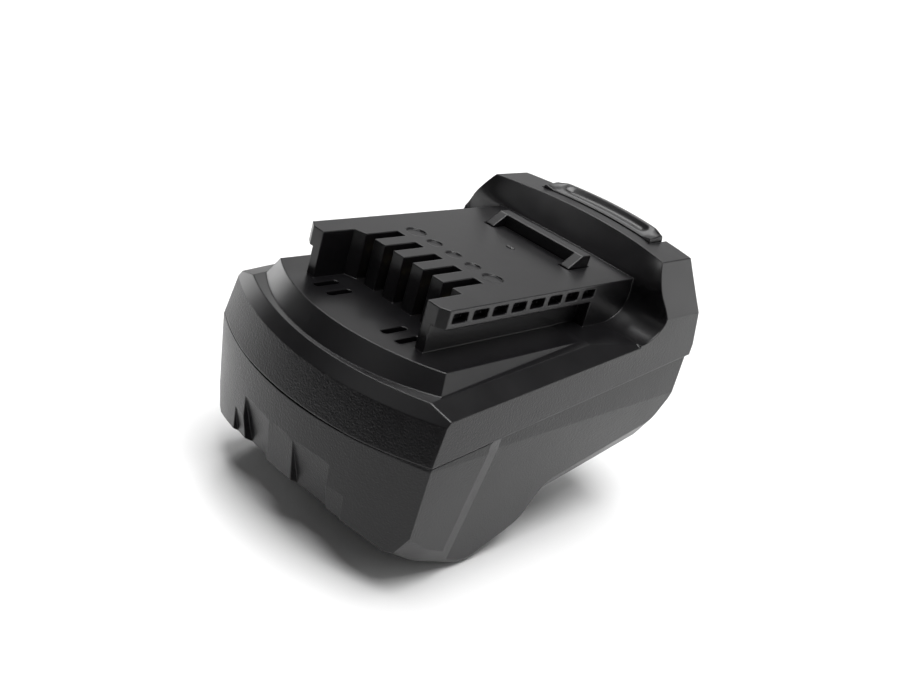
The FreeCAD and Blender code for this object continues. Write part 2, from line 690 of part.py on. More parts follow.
# Rail block with its T-shaped section, then its full-width rear end
sketch = new_sketch(upper, "rail_profile", "XZ")
foot = S.plateau_z - 1.0
outline(sketch, [
    (-S.rail_web, foot), (S.rail_web, foot), (S.rail_web, -S.flange_height), (S.flange_tip, -S.flange_height),
    (S.flange_tip, 0.0), (-S.flange_tip, 0.0), (-S.flange_tip, -S.flange_height), (-S.rail_web, -S.flange_height),
])
extrude(upper, "Pad", "rails", sketch, S.groove_end_y, flip=True)
tip(upper)
sketch = new_sketch(upper, "block_rear_outline", "XY", foot)
box_outline(sketch, -S.flange_tip, S.groove_end_y - 0.5, S.flange_tip, S.block_rear_y)
extrude(upper, "Pad", "block_rear", sketch, -foot)
tip(upper)
doc.recompute()

# Recess between the rails with the five open terminal slots
sketch = new_sketch(upper, "terminal_recess_outline", "XY")
half_slot = S.slot_width / 2.0
corners = [(-S.rail_inner, -4.0), (S.rail_inner, -4.0), (S.rail_inner, S.fin_front_y)]
for place in (2, 1, 0, -1, -2):
    right = S.slot_pitch * place + half_slot
    left = S.slot_pitch * place - half_slot
    corners += [(right, S.fin_front_y), (right, S.slot_end_y), (left, S.slot_end_y), (left, S.fin_front_y)]
corners += [(-S.rail_inner, S.far_step_y)]
outline(sketch, corners)
extrude(upper, "Pocket", "terminal_recess", sketch, -S.plateau_z)
tip(upper)
doc.recompute()

# Lead-in chamfers on the flange ends
sketch = new_sketch(upper, "lead_in_outline", "XY")
for sign in (1.0, -1.0):
    outline(sketch, [(S.lead_in_x * sign, -1.0), ((S.flange_tip + 1.0) * sign, -1.0),
                     ((S.flange_tip + 1.0) * sign, S.lead_in + 0.7), (S.lead_in_x * sign, 0.0)])
extrude(upper, "Pocket", "lead_in", sketch, S.flange_height + 0.5)
tip(upper)
# Side pockets of both rails
bottom = S.pocket_top - S.pocket_height
end = S.pocket_start + S.pocket_length
for side, sign in (("right", 1.0), ("left", -1.0)):
    sketch = new_sketch(upper, side + "_pocket_outline", "YZ", S.flange_tip * sign)
    outline(sketch, rounded([
        (S.pocket_start, bottom, S.pocket_corner), (end, bottom, S.pocket_corner),
        (end, S.pocket_top, S.pocket_corner), (S.pocket_start, S.pocket_top, S.pocket_corner),
    ]))
    pocket = extrude(upper, "Pocket", side + "_side_pocket", sketch, S.pocket_depth, flip=sign < 0)
    tip(upper)
    doc.recompute()
    row = upper.newObject("PartDesign::LinearPattern", side + "_pocket_row")
    row.Originals = [pocket]
    row.Direction = ([f for f in upper.Origin.OriginFeatures if f.Role == "Y_Axis"][0], [""])
    bind(row, "Length", S.pocket_pitch * (S.pocket_count - 1.0))
    bind(row, "Occurrences", S.pocket_count)
    upper.Tip = row

# Round dimples behind the terminal slots
sketch = new_sketch(upper, "dimple_circles", "XY")
for place in (-2, -1, 0, 1, 2):
    circle(sketch, S.slot_pitch * place, S.dimple_y, S.outer_dimple_radius if abs(place) == 2 else S.dimple_radius)
extrude(upper, "Pocket", "dimples", sketch, S.dimple_depth)
tip(upper)

# Inside of the upper shell: main space, rising roof, space under plateau, deck and hump
roof_drop = S.band_drop + S.shoulder_wall
roof_z = shoulder_line(S.shoulder_y) - roof_drop
inner_half = HALF_WIDTHS["belt"] - S.wall
sketch = new_sketch(upper, "main_space_outline", "XY", S.waist_z - 4.0)
outline(sketch, [
    (-inner_half, S.belt_front_y + S.wall, S.front_bow), (inner_half, S.belt_front_y + S.wall),
    (inner_half, S.waist_rear_y - S.wall, S.rear_bow), (-inner_half, S.waist_rear_y - S.wall),
])
extrude(upper, "Pocket", "main_space", sketch, roof_z - S.waist_z + 4.0, flip=True)
tip(upper)
shelf_roof = S.shelf_z - S.shelf_wall
sketch = new_sketch(upper, "roof_profile", "YZ")
outline(sketch, [
    (S.shoulder_y, roof_z - 0.2), (S.waist_rear_y - S.wall - 3.0, roof_z - 0.2),
    (S.waist_rear_y - S.wall - 3.0, shelf_roof),
    ((shelf_roof - roof_z) / S.shoulder_rise + S.shoulder_y, shelf_roof), (S.shoulder_y, roof_z),
])
extrude(upper, "Pocket", "rising_roof", sketch, (inner_half - 0.4) * 2.0, both=True)
tip(upper)
spaces = (
    ("plateau_space", S.plateau_half_width - S.wall, S.plateau_corner_y + S.wall, S.plateau_bow,
     S.plateau_rear_y - S.wall, S.plateau_z - S.deck_wall),
    ("deck_space", S.rail_inner - S.wall - 0.2, S.slot_end_y + S.wall, None, S.sweep_over_y, -S.deck_wall),
)
for name, half, front, bow, rear, top in spaces:
    sketch = new_sketch(upper, name + "_outline", "XY", S.waist_z + 8.0)
    first = (-half, front, bow) if bow is not None else (-half, front)
    outline(sketch, [first, (half, front), (half, rear), (-half, rear)])
    extrude(upper, "Pocket", name, sketch, top - S.waist_z - 8.0, flip=True)
    tip(upper)
hump_half = facet_top_x - S.wall
sketch = new_sketch(upper, "hump_space_outline", "XY", shelf_roof - 2.0)
hump_front = S.sweep_top_y - S.hump_wall
outline(sketch, [
    (-hump_half, hump_front, -S.hump_space_bow), (hump_half, hump_front),
    (hump_half, S.hump_rear_y + S.wall, S.hump_space_rear_bow), (-hump_half, S.hump_rear_y + S.wall),
])
extrude(upper, "Pocket", "hump_space", sketch, S.hump_z - S.deck_wall - shelf_roof + 2.0, flip=True)
tip(upper)

# Openings: button, hook, drain slots and contacts
notch_depth = S.lip_height + S.latch_travel + S.button_gap
button_half = S.button_half_width + S.button_gap
sketch = new_sketch(upper, "button_opening_outline", "XY", S.hump_z)
outline(sketch, [
    (-button_half, S.button_front_y - S.button_gap, -S.button_front_bow), (button_half, S.button_front_y - S.button_gap),
    (button_half, S.button_rear_y + 10.0), (-button_half, S.button_rear_y + 10.0),
])
extrude(upper, "Pocket", "button_opening", sketch, notch_depth)
tip(upper)
sketch = new_sketch(upper, "hook_opening_outline", "XY")
arm_in = S.hook_half_width - S.hook_arm - S.hook_gap
arm_out = S.hook_half_width + S.hook_gap
bar_front = S.hook_rear_y - S.hook_bar - S.hook_gap
hook_front = S.hook_front_y - S.hook_gap
outline(sketch, [
    (-arm_out, hook_front), (-arm_in, hook_front), (-arm_in, bar_front), (arm_in, bar_front),
    (arm_in, hook_front), (arm_out, hook_front), (arm_out, S.hook_rear_y + S.hook_gap),
    (-arm_out, S.hook_rear_y + S.hook_gap),
])
extrude(upper, "Pocket", "hook_opening", sketch, S.deck_wall + 1.0)
tip(upper)
sketch = new_sketch(upper, "drain_outline", "XY", S.plateau_z)
half_drain = S.drain_width / 2.0
for sign in (1.0, -1.0):
    for step in (0.0, 1.0):
        middle = (S.drain_x + S.drain_pitch * step) * sign
        slot_outline(sketch, middle - half_drain, S.drain_start_y, middle + half_drain,
                     S.drain_start_y + S.drain_length)
extrude(upper, "Pocket", "drain_slots", sketch, S.deck_wall + 2.0)
tip(upper)
sketch = new_sketch(upper, "contact_openings_outline", "XY", S.plateau_z)
half_opening = S.contact_width / 2.0 + S.contact_gap
for place in (-2, -1, 0, 1, 2):
    middle = S.slot_pitch * place
    box_outline(sketch, middle - half_opening, S.contact_front_y - S.contact_gap, middle + half_opening,
                S.contact_front_y + S.contact_length + S.contact_gap)
extrude(upper, "Pocket", "contact_openings", sketch, S.deck_wall + 1.0)
tip(upper)

# Screw bosses of the upper shell, then the cut along the split line
SCREWS = (
    ("front", S.front_screw_x, S.front_screw_y, S.front_head_z, roof_z + 0.6),
    ("rear", S.rear_screw_x, S.rear_screw_y, S.rear_head_z, shelf_roof + 0.6),
)
for name, x, y, head_z, roof in SCREWS:
    sketch = new_sketch(upper, name + "_boss_circles", "XY", S.waist_z - 3.0)
    circle(sketch, x, y, S.upper_boss_radius)
    circle(sketch, -x, y, S.upper_boss_radius)
    extrude(upper, "Pad", name + "_bosses", sketch, roof - S.waist_z + 3.0)
    tip(upper)
sketch = new_sketch(upper, "split_profile", "YZ")
outline(sketch, [
    (-FAR, split_line(as_size(-FAR))), (-FAR, -2.0 * FAR), (3.0 * FAR, -2.0 * FAR),
    (3.0 * FAR, split_line(as_size(3.0 * FAR))),
])
extrude(upper, "Pocket", "split_cut", sketch, 4.0 * FAR, both=True)
tip(upper)
for name, x, y, head_z, roof in SCREWS:
    sketch = new_sketch(upper, name + "_screw_holes", "XY", head_z)
    for sign in (1.0, -1.0):
        circle(sketch, x * sign, y, S.screw_radius + S.screw_gap)
    extrude(upper, "Pocket", name + "_screw_bores", sketch, S.screw_length + 1.0, flip=True)
    tip(upper)
doc.recompute()

# Lower housing: walls, floor form, inner space, then the fittings
S.new_page("Lower_values")


def front_wall_y(x, z):
    """Front wall of the lower housing at a given x and height."""
    share = (S.waist_z - z) / (S.waist_z - S.keel_z)
    corner = S.waist_front_y + (S.keel_front_y - S.waist_front_y) * share
    half = waist_half + (HALF_WIDTHS["keel"] - waist_half) * share
    radius = bow_radius(half * 2.0, as_size(0.0), S.front_bow)
    return S.derive(corner - root(radius * radius - as_size(x) * x) + radius - S.front_bow)


def form_section(body, name, x, lift):
    """The floor's side profile at one x, raised by lift."""
    sketch = new_sketch(body, name, "YZ", x)
    far_rise = (S.toe_z - S.tail_z) / (S.toe_y - S.tail_y)
    nose_fall = (S.chin_z - S.nose_z) / (S.chin_y - S.nose_y)
    return outline(sketch, rounded([
        (S.nose_y - 20.0, S.nose_z + lift - nose_fall * 20.0),
        (S.chin_y, S.chin_z + lift, S.chin_radius), (S.belly_y, S.belly_z + lift, S.belly_radius),
        (S.heel_y, S.heel_z + lift, S.heel_radius), (S.step_y, S.step_z + lift, S.step_radius),
        (S.tail_y, S.tail_z + lift, S.tail_radius), (S.toe_y + 25.0, S.toe_z + lift + far_rise * 25.0),
        (S.toe_y + 25.0, S.hump_z), (S.nose_y - 20.0, S.hump_z),
    ]))


def floor_form(name, lift):
    """A block whose underside is the floor profile, with both long edges eased."""
    body = new_body(name)
    start_x = waist_half - S.edge_start_inset
    middle = form_section(body, name + "_middle", as_size(0.0), lift)
    extrude(body, "Pad", name + "_floor", middle, start_x * 2.0, both=True)
    start = form_section(body, name + "_edge_start", start_x, lift)
    turn = form_section(body, name + "_edge_turn", waist_half - S.edge_turn_inset, lift + S.edge_low_rise)
    high = lift + S.edge_low_rise + S.edge_high_rise
    end = form_section(body, name + "_edge_end", waist_half - S.edge_end_inset, high)
    slope = loft(body, "AdditiveLoft", name + "_edge", [start, turn, end])
    side = extrude(body, "Pad", name + "_side", end, 4.0)
    tip(body)
    doc.recompute()
    other = body.newObject("PartDesign::Mirrored", name + "_other_edge")
    other.Originals = [slope, side]
    other.MirrorPlane = mirror_plane(body)
    return tip(body)


def common(name, items):
    result = doc.addObject("Part::MultiCommon", name)
    result.Shapes = items
    return result


envelope = new_body("lower_envelope")
sections = [
    envelope_section(envelope, "lower_keel_section", "keel", ridge=S.ridge_foot_y),
    envelope_section(envelope, "lower_waist_section", "waist", ridge=S.ridge_top_y),
    envelope_section(envelope, "lower_belt_section", "belt", ridge=S.ridge_top_y + 1.2),
]
loft(envelope, "AdditiveLoft", "lower_walls", sections)
tip(envelope)
outer_form = common("lower_outside", [envelope, floor_form("floor_block", as_size(0.0))])
space = new_body("space_envelope")
sections = []
for level, front_inset in (("keel", S.grip_wall), ("waist", as_size(0.0)), ("belt", as_size(0.0))):
    sections.append(envelope_section(
        space, "space_%s_section" % level, level, S.wall, side_inset=S.panel_depth, front_inset=front_inset))
loft(space, "AdditiveLoft", "space_walls", sections)
tip(space)
inner_form = common("lower_space", [space, floor_form("floor_space", S.floor_wall)])
hollow = doc.addObject("Part::Cut", "lower_hollow")
hollow.Base = outer_form
hollow.Tool = inner_form

# Screw bosses, spring posts and locating ribs of the lower housing
carrier_top = -S.deck_wall - S.carrier_gap
carrier_bottom = carrier_top - S.carrier_thickness
spring_foot = carrier_bottom - S.spring_length
holder_reach = S.cell_radius + S.cell_gap + S.holder_margin
holder_front = S.first_cell_y - holder_reach
holder_rear = S.first_cell_y + S.cell_pitch * 2.0 + holder_reach
lower_holder_rear = S.first_cell_y + S.cell_pitch + holder_reach
holder_top = S.upper_row_z + holder_reach
holder_bottom = S.lower_row_z - holder_reach
upper_holder_bottom = S.upper_row_z - holder_reach
fittings = new_body("lower_fittings")
for sign, side in ((1.0, "right"), (-1.0, "left")):
    sketch = new_sketch(fittings, side + "_boss_circles", "XY", S.keel_z)
    circle(sketch, S.front_screw_x * sign, S.front_screw_y, S.boss_radius)
    circle(sketch, S.rear_screw_x * sign, S.rear_screw_y, S.boss_radius)
    extrude(fittings, "Pad", side + "_bosses", sketch, S.hump_z - S.keel_z, flip=False)
    tip(fittings)
    sketch = new_sketch(fittings, side + "_post_circle", "XY", S.keel_z)
    circle(sketch, S.spring_x * sign, S.spring_y, S.post_radius)
    extrude(fittings, "Pad", side + "_post", sketch, spring_foot + S.post_cup - S.keel_z)
    tip(fittings)
    sketch = new_sketch(fittings, side + "_rib_profile", "YZ", S.rib_x * sign)
    outline(sketch, [
        (S.nose_y - 3.0, S.keel_z), (S.rear_screw_y, S.keel_z), (S.rear_screw_y, S.rear_head_z - 6.0),
        (holder_rear + 0.5, S.rear_head_z - 6.0), (holder_rear + 0.5, upper_holder_bottom - S.seat_gap),
        (lower_holder_rear + 1.0, upper_holder_bottom - S.seat_gap),
        (lower_holder_rear + 1.0, holder_bottom - S.seat_gap), (holder_front - S.seat_gap, holder_bottom - S.seat_gap),
        (holder_front - S.seat_gap, S.waist_z - 5.0), (S.nose_y - 3.0, S.waist_z - 5.0),
    ])
    extrude(fittings, "Pad", side + "_ribs", sketch, S.rib_thickness, both=True)
    tip(fittings)
kept_fittings = common("fittings_inside", [fittings, outer_form])
joined = doc.addObject("Part::MultiFuse", "lower_joined")
joined.Shapes = [hollow, kept_fittings]
doc.recompute()

# Cuts of the lower housing: split line, grip flutes, screw wells, bores and spring cups
lower = new_body("lower_shell")
lower.BaseFeature = joined
doc.recompute()
tip(lower)
sketch = new_sketch(lower, "lower_split_profile", "YZ")
near_y = as_size(-FAR)
far_y = as_size(3.0 * FAR)
outline(sketch, [
    (-FAR, split_line(near_y) - S.split_gap), (far_y, split_line(far_y) - S.split_gap),
    (far_y, FAR), (-FAR, FAR),
])
extrude(lower, "Pocket", "lower_split_cut", sketch, 4.0 * FAR, both=True)
tip(lower)
FLUTES = (
    ("middle_pad", -S.flute_inner_x, S.flute_inner_x, S.flute_top_z, S.pad_depth),
    ("right_deep_flute", S.flute_inner_x, S.flute_outer_x, S.flute_top_z, S.flute_depth),
    ("left_deep_flute", -S.flute_outer_x, -S.flute_inner_x, S.flute_top_z, S.flute_depth),
    ("right_shallow_flute", S.flute_outer_x, S.shallow_outer_x, S.shallow_top_z, S.shallow_depth),
    ("left_shallow_flute", -S.shallow_outer_x, -S.flute_outer_x, S.shallow_top_z, S.shallow_depth),
)
flute_foot_z = S.nose_z - 6.0
for name, left, right, top, depth in FLUTES:
    sketches = []
    for level, inset in ((top + 0.5, as_size(-0.1)), (flute_foot_z, depth)):
        sketch = new_sketch(lower, "%s_section_%d" % (name, len(sketches)), "XY", level)
        outline(sketch, [
            (left, S.nose_y - 12.0), (right, S.nose_y - 12.0),
            (right, front_wall_y(right, level) + inset), (left, front_wall_y(left, level) + inset),
        ])
        sketches.append(sketch)
    loft(lower, "SubtractiveLoft", name, sketches)
    tip(lower)
for name, x, y, head_z, roof in SCREWS:
    for part, radius, start, length, up in (
        ("wells", S.well_radius, S.keel_z, head_z - S.keel_z, True),
        ("bores", S.screw_radius + S.screw_gap, head_z - 1.0, S.screw_length, True),
    ):
        sketch = new_sketch(lower, "lower_%s_%s_circles" % (name, part), "XY", start)
        for sign in (1.0, -1.0):
            circle(sketch, x * sign, y, radius)
        extrude(lower, "Pocket", "lower_%s_%s" % (name, part), sketch, length, flip=up)
        tip(lower)
sketch = new_sketch(lower, "spring_cup_circles", "XY", spring_foot + S.post_cup)
cup_radius = S.spring_radius + S.spring_wire / 2.0 + 0.2
for sign in (1.0, -1.0):
    circle(sketch, S.spring_x * sign, S.spring_y, cup_radius)
extrude(lower, "Pocket", "spring_cups", sketch, S.post_cup)
tip(lower)
doc.recompute()

# Release button and latch: hook, carrier and button move as one body
S.new_page("Latch_values")
latch = new_body("latch_hook")
sketch = new_sketch(latch, "carrier_outline", "XY", carrier_top)
box_outline(sketch, -S.carrier_half_width, S.carrier_front_y, S.carrier_half_width, S.carrier_rear_y)
extrude(latch, "Pad", "carrier", sketch, S.carrier_thickness, flip=True)
tip(latch)
sketch = new_sketch(latch, "carrier_hollow_outline", "XY", carrier_bottom)
middle_rib = S.carrier_rib / 2.0
pin_front = S.spring_y - S.post_radius - 0.6
for sign in (1.0, -1.0):
    left, right = (middle_rib, S.carrier_half_width - S.carrier_rib)
    if sign < 0:
        left, right = -right, -left
    box_outline(sketch, left, S.carrier_front_y + S.carrier_rib, right, pin_front)
extrude(latch, "Pocket", "carrier_hollows", sketch, S.carrier_thickness - S.carrier_rib, flip=True)
tip(latch)
sketch = new_sketch(latch, "hook_outline", "XY", carrier_top - 0.5)
inner_arm = S.hook_half_width - S.hook_arm
bar_front = S.hook_rear_y - S.hook_bar
outline(sketch, [
    (-S.hook_half_width, S.hook_front_y), (-inner_arm, S.hook_front_y), (-inner_arm, bar_front),
    (inner_arm, bar_front), (inner_arm, S.hook_front_y), (S.hook_half_width, S.hook_front_y),
    (S.hook_half_width, S.hook_rear_y), (-S.hook_half_width, S.hook_rear_y),
])
extrude(latch, "Pad", "hook", sketch, S.hook_height - carrier_top + 0.5)
tip(latch)
sketch = new_sketch(latch, "hook_slope_profile", "YZ")
outline(sketch, [
    (S.hook_front_y - 2.0, S.hook_tip_z - S.hook_slope * 2.0), (bar_front + 0.6, S.hook_height + 0.2),
    (bar_front + 0.6, S.hook_height + 5.0), (S.hook_front_y - 2.0, S.hook_height + 5.0),
])
extrude(latch, "Pocket", "hook_slope", sketch, FAR, both=True)
tip(latch)
sketch = new_sketch(latch, "spring_pin_circles", "XY", carrier_bottom + 0.5)
for sign in (1.0, -1.0):
    circle(sketch, S.spring_x * sign, S.spring_y, S.pin_radius)
extrude(latch, "Pad", "spring_pins", sketch, S.pin_height + 0.5, flip=True)
tip(latch)

button = new_body("release_button")
sketch = new_sketch(button, "button_outline", "XY", S.hump_z - S.lip_height)
outline(sketch, [
    (-S.button_half_width, S.button_front_y, -S.button_front_bow), (S.button_half_width, S.button_front_y),
    (S.button_half_width, S.button_rear_y, S.button_rear_bow), (-S.button_half_width, S.button_rear_y),
])
extrude(button, "Pad", "button_cap", sketch, S.lip_height + S.button_height)
tip(button)
doc.recompute()
button_top = (S.hump_z + S.button_height).value
rim = edges_near(button.Shape, lambda m, e: abs(m.z - button_top) < 0.01)
last_feature = button.Tip
chamfer = button.newObject("PartDesign::Chamfer", "button_rim")
chamfer.Base = (last_feature, rim)
bind(chamfer, "Size", S.button_chamfer)
tip(button)
dish_sketches = []
for number, (drop, inset) in enumerate(((as_size(-0.01), as_size(0.0)), (S.dish_depth, S.dish_slope))):
    sketch = new_sketch(button, "dish_section_%d" % number, "XY", S.hump_z + S.button_height - drop)
    half = S.dish_half_width - inset
    front = S.button_front_y + S.dish_margin + inset
    rear = S.button_front_y + S.dish_margin + S.dish_width - inset
    outline(sketch, [
        (-half, front, -S.button_front_bow * 0.6), (half, front, S.dish_end),
        (half, rear, S.button_front_bow * 0.6), (-half, rear, S.dish_end),
    ])
    dish_sketches.append(sketch)
loft(button, "SubtractiveLoft", "finger_dish", dish_sketches)
tip(button)
sketch = new_sketch(button, "skirt_outline", "XY", carrier_top)
outline(sketch, [
    (-S.skirt_half_width, S.skirt_front_y), (S.skirt_half_width, S.skirt_front_y),
    (S.skirt_half_width, S.skirt_rear_y, S.skirt_bow), (-S.skirt_half_width, S.skirt_rear_y),
])
extrude(button, "Pad", "button_skirt", sketch, S.hump_z - S.lip_height - carrier_top + 0.5)
tip(button)
doc.recompute()

# Cells, numbered from the negative end of the string of five
S.new_page("Cell_values")
half_cell = S.cell_length / 2.0
CELLS = (
    ("front_upper_cell", 0, S.upper_row_z, 1.0), ("front_lower_cell", 0, S.lower_row_z, -1.0),
    ("rear_lower_cell", 1, S.lower_row_z, 1.0), ("middle_upper_cell", 1, S.upper_row_z, -1.0),
    ("rear_upper_cell", 2, S.upper_row_z, 1.0),
)


def cell_y(step):
    return S.first_cell_y + S.cell_pitch * step


nodes = {}
for name, step, z, sign in CELLS:
    body = new_body(name)
    can = half_cell * 2.0 - S.cap_height
    sketch = new_sketch(body, name + "_can_circle", "YZ", -half_cell * sign)
    circle(sketch, cell_y(step), z, S.cell_radius)
    extrude(body, "Pad", name + "_can", sketch, can, flip=sign < 0)
    tip(body)
    sketch = new_sketch(body, name + "_crimp_circles", "YZ", (half_cell - S.cap_height - 3.0) * sign)
    circle(sketch, cell_y(step), z, S.cell_radius + 1.0)
    circle(sketch, cell_y(step), z, S.cell_radius - S.crimp_depth)
    extrude(body, "Pocket", name + "_crimp", sketch, S.crimp_width, flip=sign < 0)
    tip(body)
    sketch = new_sketch(body, name + "_cap_circle", "YZ", (half_cell - S.cap_height - 0.5) * sign)
    circle(sketch, cell_y(step), z, S.cap_radius)
    extrude(body, "Pad", name + "_cap", sketch, S.cap_height + 0.5, flip=sign < 0)
    nodes[name] = tip(body)

# Cell holders, end sheets and nickel links on both sides
bore = S.cell_radius + S.cell_gap


def stack_outline(sketch, grow, corner):
    """The L-shaped outline round the five cells."""
    front = holder_front - grow
    low_rear = lower_holder_rear + grow
    rear = holder_rear + grow
    top = holder_top + grow
    low = holder_bottom - grow
    notch = upper_holder_bottom - grow
    return outline(sketch, rounded([
        (front, low, corner), (low_rear, low, corner), (low_rear, notch, as_size(1.5)),
        (rear, notch, corner), (rear, top, corner), (front, top, corner),
    ]))


for side, sign in (("right", 1.0), ("left", -1.0)):
    body = new_body(side + "_cell_holder")
    start = half_cell - S.holder_width
    sketch = new_sketch(body, side + "_holder_outline", "YZ", start * sign)
    stack_outline(sketch, as_size(0.0), S.holder_corner)
    for cell, step, z, polarity in CELLS:
        circle(sketch, cell_y(step), z, bore)
    extrude(body, "Pad", side + "_holder", sketch, S.holder_width, flip=sign < 0)
    nodes[side + "_cell_holder"] = tip(body)

strap_x = half_cell + S.link_gap
sheet_x = strap_x + S.strap_thickness + S.link_gap
half_strap = S.strap_width / 2.0
upper_z, lower_z = S.upper_row_z, S.lower_row_z
first_y, second_y, third_y = cell_y(0), cell_y(1), cell_y(2)
over = S.strap_over
LINKS = (
    ("front_cell_link", -1.0, (first_y - half_strap, lower_z - over, first_y + half_strap, upper_z + over)),
    ("rear_cell_link", -1.0, (second_y - half_strap, lower_z - over, second_y + half_strap, upper_z + over)),
    ("lower_cell_link", 1.0, (first_y - over, lower_z - half_strap, second_y + over, lower_z + half_strap)),
    ("upper_cell_link", 1.0, (second_y - over, upper_z - half_strap, third_y + over, upper_z + half_strap)),
)
for name, sign, (y1, z1, y2, z2) in LINKS:
    body = new_body(name)
    sketch = new_sketch(body, name + "_outline", "YZ", strap_x * sign)
    corner = as_size(1.0)
    outline(sketch, rounded([(y1, z1, corner), (y2, z1, corner), (y2, z2, corner), (y1, z2, corner)]))
    middle_y, middle_z = (y1 + y2) / 2.0, (z1 + z2) / 2.0
    flat = (y2 - y1).value > (z2 - z1).value
    for weld in (-1.0, 1.0):
        at = S.cell_pitch / 2.0 if flat else (S.upper_row_z - S.lower_row_z) / 2.0
        across, along = (S.weld_slit_length / 2.0, S.weld_slit / 2.0)
        if flat:
            box_outline(sketch, middle_y + at * weld - across, middle_z - along,
                        middle_y + at * weld + across, middle_z + along)
        else:
            box_outline(sketch, middle_y - along, middle_z + at * weld - across,
                        middle_y + along, middle_z + at * weld + across)
    extrude(body, "Pad", name + "_plate", sketch, S.strap_thickness, flip=sign < 0)
    nodes[name] = tip(body)

# Straps from the two ends of the string up to the circuit board
board_bottom = holder_top + S.seat_gap
board_top = board_bottom + S.board_thickness
for name, sign, y in (("negative_strap", 1.0, first_y), ("positive_strap", -1.0, third_y)):
    body = new_body(name)
    sketch = new_sketch(body, name + "_outline", "YZ", strap_x * sign)
    outline(sketch, rounded([
        (y - half_strap, upper_z - over, as_size(1.0)), (y + half_strap, upper_z - over, as_size(1.0)),
        (y + half_strap, board_top + S.strap_thickness + 0.1), (y - half_strap, board_top + S.strap_thickness + 0.1),
    ]))
    extrude(body, "Pad", name + "_plate", sketch, S.strap_thickness, flip=sign < 0)
    tip(body)
    sketch = new_sketch(body, name + "_tab_outline", "XY", board_top + 0.1)
    inner_end = (S.board_half_width - S.strap_tab) * sign
    outer_end = (strap_x + S.strap_thickness) * sign
    left, right = (inner_end, outer_end) if sign > 0 else (outer_end, inner_end)
    box_outline(sketch, left, y - half_strap, right, y + half_strap)
    extrude(body, "Pad", name + "_tab", sketch, S.strap_thickness)
    nodes[name] = tip(body)

for side, sign in (("right", 1.0), ("left", -1.0)):
    body = new_body(side + "_insulating_sheet")
    sketch = new_sketch(body, side + "_sheet_outline", "YZ", sheet_x * sign)
    stack_outline(sketch, as_size(-0.6), S.holder_corner)
    extrude(body, "Pad", side + "_sheet", sketch, S.sheet_thickness, flip=sign < 0)
    nodes[side + "_insulating_sheet"] = tip(body)
    body = new_body(side + "_foam_pad")
    pad_x = sheet_x + S.sheet_thickness + S.link_gap
    sketch = new_sketch(body, side + "_foam_outline", "YZ", pad_x * sign)
    box_outline(sketch, first_y, upper_z - 4.0, third_y - 4.0, upper_z + 4.0)
    extrude(body, "Pad", side + "_foam", sketch, S.foam_thickness, flip=sign < 0)
    nodes[side + "_foam_pad"] = tip(body)

# Circuit board with its parts, and the terminal holder with five folded contacts
S.new_page("Board_values")
body = new_body("circuit_board")
sketch = new_sketch(body, "board_outline", "XY", board_bottom)
corner = as_size(2.0)
outline(sketch, rounded([
    (-S.board_half_width, S.board_front_y, corner), (S.board_half_width, S.board_front_y, corner),
    (S.board_half_width, S.board_rear_y, corner), (-S.board_half_width, S.board_rear_y, corner),
]))
for sign in (1.0, -1.0):
    circle(sketch, (S.board_half_width - 4.0) * sign, S.board_front_y + 4.0, S.board_hole_radius)
    circle(sketch, (S.board_half_width - 4.0) * sign, S.board_rear_y - 4.0, S.board_hole_radius)
extrude(body, "Pad", "board", sketch, S.board_thickness)
nodes["circuit_board"] = tip(body)

plateau_inside = S.plateau_z - S.deck_wall
holder_block_top = plateau_inside - S.seat_gap
body = new_body("terminal_holder")
sketch = new_sketch(body, "terminal_holder_outline", "XY", board_top)
contact_rear = S.contact_front_y + S.contact_length
block_half = S.slot_pitch * 2.0 + S.slot_pitch / 2.0
box_outline(sketch, -block_half, S.contact_front_y - 2.0, block_half, contact_rear + 2.0)
for place in (-2, -1, 0, 1, 2):
    middle = S.slot_pitch * place
    box_outline(sketch, middle - half_opening, S.contact_front_y - S.contact_gap, middle + half_opening,
                contact_rear + S.contact_gap)
extrude(body, "Pad", "terminal_block", sketch, holder_block_top - board_top)
nodes["terminal_holder"] = tip(body)

CONTACTS = ("positive_contact", "identity_contact", "temperature_contact", "signal_contact", "negative_contact")
half_contact = S.contact_width / 2.0
half_inside = half_contact - S.contact_metal
for place, name in zip((-2, -1, 0, 1, 2), CONTACTS):
    body = new_body(name)
    sketch = new_sketch(body, name + "_profile", "XZ", -S.contact_front_y)
    x = S.slot_pitch * place
    base = board_top + S.contact_metal
    outline(sketch, [
        (x - half_contact, board_top), (x + half_contact, board_top),
        (x + half_contact, S.contact_top_z), (x + half_contact - 0.1, S.contact_top_z),
        (x + S.contact_nip / 2.0, S.contact_top_z - S.contact_mouth), (x + half_inside, S.contact_top_z - 3.0),
        (x + half_inside, base), (x - half_inside, base), (x - half_inside, S.contact_top_z - 3.0),
        (x - S.contact_nip / 2.0, S.contact_top_z - S.contact_mouth), (x - half_contact + 0.1, S.contact_top_z),
        (x - half_contact, S.contact_top_z),
    ])
    extrude(body, "Pad", name + "_clip", sketch, S.contact_length, flip=True)
    nodes[name] = tip(body)

